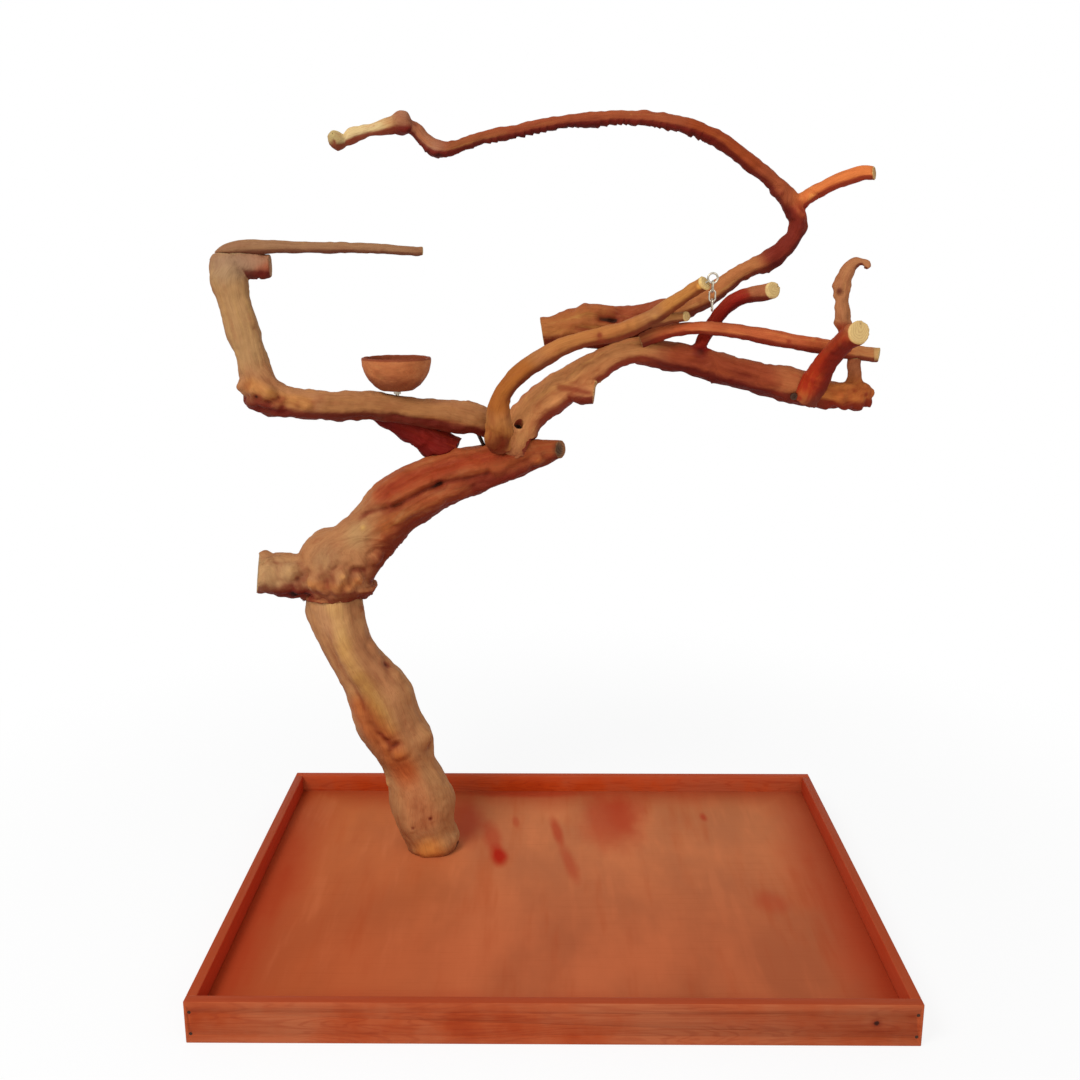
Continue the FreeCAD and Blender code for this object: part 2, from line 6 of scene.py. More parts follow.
import contextlib
import heapq
import math

import bmesh
import bpy
import numpy as np
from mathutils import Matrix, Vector


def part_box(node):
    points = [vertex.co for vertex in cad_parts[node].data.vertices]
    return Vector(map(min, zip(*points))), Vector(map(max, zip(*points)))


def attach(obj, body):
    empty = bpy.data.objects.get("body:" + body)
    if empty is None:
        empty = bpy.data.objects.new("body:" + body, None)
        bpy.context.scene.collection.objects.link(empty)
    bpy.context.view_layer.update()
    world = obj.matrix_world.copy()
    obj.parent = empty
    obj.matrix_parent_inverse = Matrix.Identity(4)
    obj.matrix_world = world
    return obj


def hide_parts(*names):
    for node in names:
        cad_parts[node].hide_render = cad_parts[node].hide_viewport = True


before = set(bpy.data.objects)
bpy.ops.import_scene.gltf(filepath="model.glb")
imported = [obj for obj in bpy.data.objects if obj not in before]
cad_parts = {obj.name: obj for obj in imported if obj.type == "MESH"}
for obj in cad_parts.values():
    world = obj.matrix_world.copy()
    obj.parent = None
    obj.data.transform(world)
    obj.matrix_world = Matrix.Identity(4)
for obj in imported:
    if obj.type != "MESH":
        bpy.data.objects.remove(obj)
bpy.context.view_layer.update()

bl_info = {
    "name": "Parrot play stand",
    "version": (1, 0, 0),
    "blender": (4, 5, 0),
    "location": "View3D > Sidebar > Play stand",
    "description": "Carves and paints a branch play stand in its tray",
    "category": "Object",
}

MM = 0.001
WELD = 1e-5  # corners closer than this are one corner


def dye(red, green, blue):
    """A paint chart's colour, 0 to 255 a channel, as the linear colour that a shader takes."""
    chart = [channel / 255 for channel in (red, green, blue)]
    return [c / 12.92 if c <= 0.04045 else ((c + 0.055) / 1.055) ** 2.4 for c in chart]


# ---------------------------------------------------------------- settings


def colour(name, note, chart):
    return bpy.props.FloatVectorProperty(
        name=name, description=note, subtype="COLOR", size=3, min=0, max=1, default=dye(*chart)
    )


def length(name, note, metres):
    return bpy.props.FloatProperty(
        name=name, description=note, default=metres, min=0, unit="LENGTH", precision=5
    )


class WoodSettings(bpy.types.PropertyGroup):
    """Colours and carving of the branch wood."""

    trunk: colour("Trunk", "Weathered tan of the lower trunk", (178, 124, 78))
    streak: colour("Trunk streak", "Yellow sapwood down the front of the trunk", (205, 158, 84))
    burl: colour("Burl", "Tan of the burl and the elbow", (174, 118, 74))
    limb: colour("Limb", "Red brown of the main limb", (160, 76, 36))
    arm: colour("Arm", "Tan of the left arm and perch", (168, 112, 70))
    right: colour("Right limb", "Brown of the right limb", (162, 96, 58))
    climber: colour("Climbing branch", "Orange tan of the climbing branch", (168, 112, 62))
    arch: colour("Arch", "Red brown of the arch", (152, 72, 38))
    arch_tip: colour("Arch tip", "Grey tan of the arch's old tip", (160, 112, 84))
    red: colour("Heartwood", "Deep red of the stub, prong and brace", (140, 46, 20))
    # Painted shade: the dark red laid on the undersides of the branches and the bowl, and in their
    # hollows.
    under: colour("Shaded bark", "Dark red left on the undersides", (92, 18, 8))
    # On knob tops the amber is a painted highlight; along the streaks it is sapwood.
    amber: colour("Sapwood", "Amber sapwood on knobs and along the streaks", (206, 146, 78))
    # In cracks this near black is painted shade; in knots it is the knot's own colour.
    dark: colour("Cracks", "Nearly black brown in cracks and knots", (38, 12, 6))
    sawn: colour("Sawn face", "Cream of a fresh sawn end", (226, 194, 128))
    skin: length("Carving step", "Edge length of the carved skin", 0.0017)


class TraySettings(bpy.types.PropertyGroup):
    """Colours and edges of the tray."""

    rail: colour("Rails", "Red brown stain of the rails", (168, 68, 30))
    rail_dark: colour("Rail grain", "Darker lines in the stained rails", (132, 36, 14))
    floor: colour("Floor", "Orange brown stain of the floor", (178, 96, 60))
    floor_dark: colour("Floor blotches", "Where the stain soaked in", (172, 30, 2))
    floor_left: colour("Floor, left half", "Where the stain is thickest", (172, 72, 24))
    rim: colour("Floor rim", "Stain gathered along the rails", (160, 42, 16))
    # Painted light: a brighter copy of the rail stain, for the back rail, whose inner face looks toward
    # the lamps.
    back: colour("Back rail", "Bright stain of the back rail", (194, 78, 26))
    pine: colour("Raw pine", "Bare wood of the battens and the pad", (214, 178, 124))
    edge: length("Rounded edge", "Radius sanded on the boards", 0.0011)


class MetalSettings(bpy.types.PropertyGroup):
    """Finish of the steel fittings."""

    zinc: colour("Zinc", "Plated screws, nails and washers", (186, 184, 178))
    # Painted shade on the branch screws: darkened so that their bare shanks read as shadow; on the corner
    # nails it is a dark finish.
    blackened: colour("Blackened", "Dark screws that hold the branches", (74, 52, 42))
    stainless: colour("Stainless", "Bowl bolt, chain and eye", (186, 176, 158))


class StageSettings(bpy.types.PropertyGroup):
    """Camera, light and floor."""

    camera_place: bpy.props.FloatVectorProperty(
        name="Camera place",
        description="Where the camera stands",
        subtype="XYZ",
        unit="LENGTH",
        size=3,
        default=(-0.0030, -1.3915, 0.8374),
    )
    camera_turn: bpy.props.FloatVectorProperty(
        name="Camera turn",
        description="How the camera is turned",
        subtype="EULER",
        unit="ROTATION",
        size=3,
        default=(math.radians(76.496), math.radians(0.082), math.radians(0.508)),
    )
    lens: bpy.props.FloatProperty(
        name="Lens", description="Focal length in millimetres on a 36 mm frame", default=38.17, min=1
    )
    sky: bpy.props.FloatProperty(
        name="Sky light", description="Strength of the even light all round", default=0.5, min=0
    )
    key: bpy.props.FloatProperty(
        name="Window light", description="Power of the soft light from the left", default=40.0, min=0
    )
    fill: bpy.props.FloatProperty(
        name="Front light", description="Power of the soft light by the camera", default=13.0, min=0
    )


def settings(group):
    return getattr(bpy.context.scene, f"stand_{group}")


# ---------------------------------------------------------------- shader pieces


class Recipe:
    """A material under construction: each call adds one node and gives its output."""

    def __init__(self, name):
        self.material = bpy.data.materials.new(name)
        self.material.use_nodes = True
        self.tree = self.material.node_tree
        self.shader = self.tree.nodes["Principled BSDF"]

    def add(self, kind, values=None, output=0, **options):
        made = self.tree.nodes.new(kind)
        for option, value in options.items():
            setattr(made, option, value)
        for socket, value in (values or {}).items():
            if isinstance(value, bpy.types.NodeSocket):
                self.tree.links.new(value, made.inputs[socket])
            else:
                made.inputs[socket].default_value = value
        return made.outputs[output]

    def place(self):
        return self.add("ShaderNodeTexCoord", output="Object")

    def kept(self, name, output="Fac"):
        """A value that the piece's own mesh carries."""
        return self.add("ShaderNodeAttribute", output=output, attribute_name=name)

    def part(self, vector, axis):
        return self.add("ShaderNodeSeparateXYZ", {0: vector}, output=axis)

    def facing(self, axis):
        """How much the surface looks along an axis, from -1 to 1."""
        return self.part(self.add("ShaderNodeNewGeometry", output="Normal"), axis)

    def scaled(self, vector, scale, shift=(0, 0, 0)):
        return self.add("ShaderNodeMapping", {"Vector": vector, "Scale": scale, "Location": shift})

    def measure(self, operation, first, second=(0, 0, 0)):
        """One number from one or two vectors, such as a length or a distance."""
        values = {0: first, 1: second}
        return self.add("ShaderNodeVectorMath", values, output="Value", operation=operation)

    def noise(self, vector, scale, shift=(0, 0, 0), detail=2.0, roughness=0.5, twist=0.0):
        """Noise with its own scale and shift on each axis."""
        values = {"Vector": self.scaled(vector, scale, shift), "Scale": 1.0, "Detail": detail}
        values |= {"Roughness": roughness, "Distortion": twist}
        return self.add("ShaderNodeTexNoise", values)

    def math(self, operation, first, second=0.0, third=0.0):
        return self.add("ShaderNodeMath", {0: first, 1: second, 2: third}, operation=operation)

    def fade(self, value, low, high, start=0.0, end=1.0):
        """value from low to high, eased into start to end."""
        values = {"Value": value, "From Min": low, "From Max": high, "To Min": start, "To Max": end}
        return self.add("ShaderNodeMapRange", values, interpolation_type="SMOOTHSTEP")

    def mix(self, share, first, second, blend="MIX"):
        made = self.tree.nodes.new("ShaderNodeMix")
        made.data_type = "RGBA"
        made.blend_type = blend
        for socket, value in (("Factor_Float", share), ("A_Color", first), ("B_Color", second)):
            spot = next(s for s in made.inputs if s.identifier == socket)
            if isinstance(value, bpy.types.NodeSocket):
                self.tree.links.new(value, spot)
            else:
                spot.default_value = value if socket == "Factor_Float" else (*value[:3], 1)
        return next(s for s in made.outputs if s.identifier == "Result_Color")

    def coat(self, body, value, low, high, share, tone):
        """body under a coat of tone that grows, up to share, as value goes from low to high."""
        return self.mix(self.fade(value, low, high, 0.0, share), body, tone)

    def bump(self, height, distance, strength=1.0, over=None):
        values = {"Height": height, "Distance": distance, "Strength": strength}
        if over is not None:
            values["Normal"] = over
        return self.add("ShaderNodeBump", values)

    def finish(self, **sockets):
        names = {"base": "Base Color", "roughness": "Roughness", "normal": "Normal"}
        names |= {"metallic": "Metallic", "specular": "Specular IOR Level"}
        for word, value in sockets.items():
            spot = self.shader.inputs[names[word]]
            if isinstance(value, bpy.types.NodeSocket):
                self.tree.links.new(value, spot)
            else:
                spot.default_value = (*value, 1) if word == "base" else value
        return self.material


def shade(tone, factor):
    """Every number of a tone, or of a scale, times the factor."""
    return [channel * factor for channel in tone]


def stretched(run, across, along):
    """A pattern's scale on each axis, where the grain runs along one of them."""
    return [along if axis == run else across for axis in range(3)]


def branch_wood(name, tone, second, seed, under_shade_share=0.75, streaky=1.0):
    """Sandblasted branch wood: fibres along the grain, painted shade in the hollows and painted highlights
    on the knobs, dark red painted shade on the undersides, cream sawn ends.
    """
    wood = settings("wood")
    recipe = Recipe(name)
    grain = recipe.kept("grain", "Vector")
    place = recipe.place()
    fibres = recipe.noise(grain, (950, 950, 24), (seed, 0, 0), detail=3.0, roughness=0.6)
    streaks = recipe.noise(grain, (150, 150, 11), (0, seed, 0), detail=4.0, roughness=0.6)
    blotches = recipe.noise(place, (19, 19, 19), (seed, seed, 0), detail=4.0, roughness=0.6)
    mottle = recipe.noise(grain, (85, 85, 30), (seed, 0, seed), detail=4.0, roughness=0.62)
    flecks = recipe.noise(grain, (420, 420, 90), (0, 0, seed))

    share = recipe.math("ADD", recipe.kept("tint"), recipe.math("MULTIPLY_ADD", blotches, 0.8, -0.4))
    body = recipe.mix(recipe.fade(share, 0.0, 1.0), tone, second)
    body = recipe.coat(body, mottle, 0.45, 0.75, 0.45 * streaky, shade(wood.red, 0.9))
    body = recipe.coat(body, mottle, 0.52, 0.25, 0.3, shade(tone, 1.3))
    body = recipe.coat(body, streaks, 0.5, 0.72, 0.42 * streaky, shade(wood.limb, 0.6))
    body = recipe.coat(body, streaks, 0.48, 0.28, 0.2 * streaky, wood.amber)
    body = recipe.coat(body, fibres, 0.45, 0.75, 0.38, shade(tone, 0.5))
    body = recipe.coat(body, flecks, 0.68, 0.8, 0.4, shade(wood.red, 0.6))

    # Painted shade: surfaces that look down turn dark red.
    below = recipe.math("MULTIPLY_ADD", mottle, 0.7, recipe.math("SUBTRACT", recipe.kept("under"), 0.35))
    body = recipe.coat(body, below, 0.1, 0.85, under_shade_share, wood.under)
    # Painted shade and highlight: hollow darkens clefts, creases and cracks towards near black, and below
    # 0 paints amber highlights on knob tops and pale flecks.
    hollow = recipe.kept("hollow")
    body = recipe.coat(body, hollow, 0.0, 0.55, 0.7, shade(wood.under, 1.4))
    body = recipe.coat(body, hollow, 0.5, 1.1, 0.92, wood.dark)
    body = recipe.coat(body, hollow, 0.0, -0.4, 0.75, wood.amber)
    body = recipe.coat(body, hollow, -0.4, -0.9, 0.9, wood.sawn)

    flat = recipe.scaled(grain, (1, 1, 0))
    radius = recipe.measure("LENGTH", flat)
    wander = recipe.noise(grain, (60, 60, 60))
    turns = recipe.math("MULTIPLY_ADD", radius, 2600, recipe.math("MULTIPLY", wander, 14))
    rings = recipe.math("SINE", turns)
    pale = recipe.coat(wood.sawn, rings, -0.2, 1.0, 0.3, shade(wood.burl, 1.1))
    pale = recipe.coat(pale, radius, 0.002, 0.0, 0.6, shade(wood.burl, 0.5))
    old = recipe.coat(shade(tone, 0.8), rings, -0.2, 1.0, 0.5, shade(wood.red, 0.4))
    aged = recipe.mix(recipe.kept("fresh"), old, pale)
    body = recipe.mix(recipe.fade(recipe.kept("cut"), 0.3, 0.7), body, aged)
    # The colour changes by place multiply in here, some of them painted shade and painted light.
    body = recipe.mix(1.0, body, recipe.kept("wash", "Color"), "MULTIPLY")

    rough = recipe.fade(fibres, 0.3, 0.75, 0.6, 0.85)
    fine = recipe.bump(fibres, 0.0006, 0.5)
    coarse = recipe.bump(streaks, 0.0014, 0.4, fine)
    pitted = recipe.bump(mottle, 0.0022, 0.45, coarse)
    pores = recipe.noise(grain, (2600, 2600, 260), detail=1.0)
    normal = recipe.bump(pores, 0.0002, 0.5, pitted)
    return recipe.finish(base=body, roughness=rough, normal=normal, specular=0.14)


def stained_board(name, run, tone, dark, seed, worn, knots=()):
    """Stained solid board whose grain runs along one axis, with end grain on its sawn ends, painted shade
    on the faces that look into the tray and on its top.
    """
    tray = settings("tray")
    recipe = Recipe(name)
    place = recipe.place()
    grain = recipe.noise(place, stretched(run, 260.0, 7.0), (seed, seed, seed), detail=4.0, twist=0.8)
    figure = recipe.noise(place, stretched(run, 34.0, 3.2), (0, seed, 0), twist=1.6)
    lines = recipe.math("SINE", recipe.math("MULTIPLY", figure, 70.0))
    blotch = recipe.noise(place, (9, 9, 9), (seed, 0, seed), detail=4.0, roughness=0.6)
    body = recipe.mix(recipe.fade(blotch, 0.35, 0.7), tone, shade(tray.floor, 0.95))
    body = recipe.coat(body, lines, 0.2, 1.0, 0.24, dark)
    body = recipe.coat(body, grain, 0.5, 0.75, 0.36, shade(dark, 0.8))
    body = recipe.coat(body, blotch, 0.5, 0.28, 0.35, dark)
    end_share = recipe.fade(recipe.math("ABSOLUTE", recipe.facing("XYZ"[run])), 0.8, 0.95)
    specks = recipe.noise(place, (700, 700, 700))
    end_grain = recipe.mix(recipe.fade(specks, 0.4, 0.7), shade(dark, 0.85), shade(dark, 0.4))
    body = recipe.mix(end_share, body, end_grain)
    # Painted shade: faces that look into the tray turn deep red.
    deep = [tone[0] * 1.22, tone[1] * 0.25, tone[2] * 0.06]
    body = recipe.mix(recipe.kept("inside"), body, deep)
    # Painted shade: faces that look up are darkened, to hold back the light on the rail tops.
    top = [tone[0] * 0.76, tone[1] * 0.42, tone[2] * 0.2]
    body = recipe.coat(body, recipe.facing("Z"), 0.6, 0.95, 0.85, top)
    body = recipe.mix(recipe.kept("worn"), body, worn)
    for spot, size in knots:
        gap = recipe.measure("DISTANCE", place, spot)
        gap = recipe.math("MULTIPLY_ADD", specks, 0.5 * size, gap)
        body = recipe.coat(body, gap, size * 2.6, size, 0.5, dark)
        body = recipe.coat(body, gap, size * 1.3, size * 0.7, 0.9, settings("wood").dark)
    rough = recipe.fade(grain, 0.3, 0.8, 0.5, 0.7)
    normal = recipe.bump(grain, 0.0004, 0.35)
    return recipe.finish(base=body, roughness=rough, normal=normal, specular=0.07)


def hide_cad(piece, node, body):
    """The finished piece stands for its CAD node and moves with its body."""
    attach(piece, body)
    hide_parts(node)


def paint(piece, material):
    piece.data.materials.clear()
    piece.data.materials.append(material)


@contextlib.contextmanager
def opened(mesh):
    """The mesh as a bmesh, which is written back at the end."""
    work = bmesh.new()
    work.from_mesh(mesh)
    yield work
    work.to_mesh(mesh)
    work.free()


def placed(name, data):
    """A new object in the scene."""
    made = bpy.data.objects.new(name, data)
    bpy.context.scene.collection.objects.link(made)
    return made


# ---------------------------------------------------------------- carving


CELLS = 64  # a ripple repeats after this many
LATTICE = np.random.default_rng(41).random((CELLS, CELLS, CELLS)) * 2 - 1


def ripple(points):
    """Smooth seeded noise from -1 to 1 at each point; one unit is one ripple."""
    cell = np.floor(points).astype(int)
    part = points - cell
    part = part * part * (3 - 2 * part)
    total = np.zeros(len(points))
    for corner in np.ndindex(2, 2, 2):
        weight = np.where(corner, part, 1 - part).prod(axis=1)
        spot = (cell + corner) % CELLS
        total += weight * LATTICE[spot[:, 0], spot[:, 1], spot[:, 2]]
    return total


def eased(value, low, high):
    """0 at low, 1 at high, and smooth between them."""
    share = np.clip((value - low) / (high - low), 0, 1)
    return share * share * (3 - 2 * share)


def unit(vectors):
    """Each row at a length of one."""
    return vectors / np.maximum(np.linalg.norm(vectors, axis=1, keepdims=True), 1e-9)


def islands(count, links):
    """For each point, the lowest number among the points that it is linked to."""
    label = np.arange(count)
    first, second = links.T
    while len(links) and (label[first] != label[second]).any():
        low = np.minimum(label[first], label[second])
        np.minimum.at(label, label[first], low)
        np.minimum.at(label, label[second], low)
        while (label != label[label]).any():
            label = label[label]
    return label


def evened(values, links, rounds):
    """values averaged with those of the linked points, that many times."""
    first, second = links.T
    count = len(values)
    share = np.bincount(links.ravel(), minlength=count) + 1
    for _ in range(rounds):
        total = values.copy()
        for k in range(values.shape[1]):
            total[:, k] += np.bincount(first, values[second, k], count)
            total[:, k] += np.bincount(second, values[first, k], count)
        values = total / share[:, None]
    return values


def read(items, name, width, kind=float):
    """One row of numbers for each of a mesh's vertices, normals or edges."""
    values = np.zeros(len(items) * width, kind)
    items.foreach_get(name, values)
    return values.reshape(-1, width)


def even_skin(node, name, step):
    """A copy of a CAD node with one even skin of small faces."""
    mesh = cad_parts[node].data.copy()
    with opened(mesh) as loose:
        bmesh.ops.remove_doubles(loose, verts=loose.verts, dist=WELD)
    piece = placed(name, mesh)
    remesh = piece.modifiers.new("even skin", "REMESH")
    remesh.mode = "VOXEL"
    remesh.voxel_size = step
    bpy.context.view_layer.update()
    skin = bpy.data.meshes.new_from_object(piece.evaluated_get(bpy.context.evaluated_depsgraph_get()))
    piece.modifiers.clear()
    piece.data = skin
    skin.name = name

    label = islands(len(skin.vertices), read(skin.edges, "vertices", 2, int))
    main = np.bincount(label).argmax()
    if (label != main).any():
        with opened(skin) as whole:
            whole.verts.ensure_lookup_table()
            spare = [whole.verts[i] for i in np.nonzero(label != main)[0]]
            bmesh.ops.delete(whole, geom=spare, context="VERTS")
    return piece


def read_skin(mesh):
    """Points, outward normals and the links between neighbours, corner to corner of each face too."""
    points = read(mesh.vertices, "co", 3)
    normals = read(mesh.vertex_normals, "vector", 3)
    edges = read(mesh.edges, "vertices", 2, int)
    quads = np.array([face.vertices[:] for face in mesh.polygons if len(face.vertices) == 4])
    diagonals = np.concatenate((quads[:, [0, 2]], quads[:, [1, 3]]))
    return points, normals, edges, diagonals


def reach_from(points, links, butt):
    """How far each point is from the butt, along the skin."""
    near = [[] for _ in points]
    spans = np.linalg.norm(points[links[:, 0]] - points[links[:, 1]], axis=1)
    for (first, second), span in zip(links.tolist(), spans.tolist()):
        near[first].append((second, span))
        near[second].append((first, span))
    start = int(np.linalg.norm(points - butt, axis=1).argmin())
    reach = [math.inf] * len(points)
    reach[start] = 0.0
    waiting = [(0.0, start)]
    while waiting:
        here, i = heapq.heappop(waiting)
        if here > reach[i]:
            continue
        for j, span in near[i]:
            there = here + span
            if there < reach[j]:
                reach[j] = there
                heapq.heappush(waiting, (there, j))
    return np.array(reach)


BAND = 0.007  # a branch is followed in rings this long


def follow_heart(points, edges, diagonals, butt):
    """Each point's place in the straightened wood (two across the heart, one along it)."""
    links = np.concatenate((edges, diagonals))
    band = (reach_from(points, links, butt) / BAND).astype(int)
    same = band[links[:, 0]] == band[links[:, 1]]
    _, ring = np.unique(islands(len(points), links[same]), return_inverse=True)
    size = np.bincount(ring)
    centre = np.stack([np.bincount(ring, points[:, k]) / size for k in range(3)], axis=1)
    ring_band = np.zeros(len(size), int)
    ring_band[ring] = band

    pairs = ring[links[~same]]
    swap = ring_band[pairs[:, 0]] > ring_band[pairs[:, 1]]
    pairs[swap] = pairs[swap][:, ::-1]
    parent = np.full(len(size), -1)
    parent[pairs[:, 1]] = pairs[:, 0]

    way = np.zeros((len(size), 3))
    steps = unit(centre[pairs[:, 1]] - centre[pairs[:, 0]])
    for k in range(3):
        for end in (0, 1):
            way[:, k] += np.bincount(pairs[:, end], steps[:, k], len(size))
    way = unit(way)
    side = np.zeros((len(size), 3))
    along = np.zeros(len(size))
    for i in np.argsort(ring_band, kind="stable"):
        above = parent[i]
        if above < 0:
            side[i] = np.cross((0.0, 1.0, 0.0), way[i])
        else:
            side[i] = side[above]
            along[i] = along[above] + np.linalg.norm(centre[i] - centre[above])
        side[i] -= way[i] * (side[i] @ way[i])
        side[i] /= max(np.linalg.norm(side[i]), 1e-9)

    spread = np.concatenate((centre, side, way, along[:, None]), axis=1)[ring]
    spread = evened(spread, edges, 8)
    centre, along = spread[:, :3], spread[:, 9]
    side, way = unit(spread[:, 3:6]), unit(spread[:, 6:9])
    other = np.cross(way, side)
    off = points - centre
    places = ((off * side).sum(1), (off * other).sum(1), along + (off * way).sum(1))
    return np.stack(places, axis=1)


def within(gap, radius, outer, inner):
    """1 inside so many radii (of a radius in millimetres), easing to 0 further out."""
    return eased(gap, outer * radius * MM, inner * radius * MM)


def from_line(points, line):
    """How far each point is from a line of places given in millimetres."""
    places = np.array(line, float) * MM
    gap = np.linalg.norm(points - places[0], axis=1)
    for start, end in zip(places, places[1:]):
        step = end - start
        share = np.clip((points - start) @ step / (step @ step), 0, 1)
        gap = np.minimum(gap, np.linalg.norm(points - start - share[:, None] * step, axis=1))
    return gap


def keep(mesh, **layers):
    """Writes values on the mesh's points, for its material to read."""
    for name, values in layers.items():
        kind, field = ("FLOAT_VECTOR", "vector") if values.ndim == 2 else ("FLOAT", "value")
        layer = mesh.attributes.new(name, kind, "POINT")
        layer.data.foreach_set(field, values.astype(np.float32).ravel())


def write_points(mesh, points):
    mesh.vertices.foreach_set("co", points.ravel())
    mesh.update()
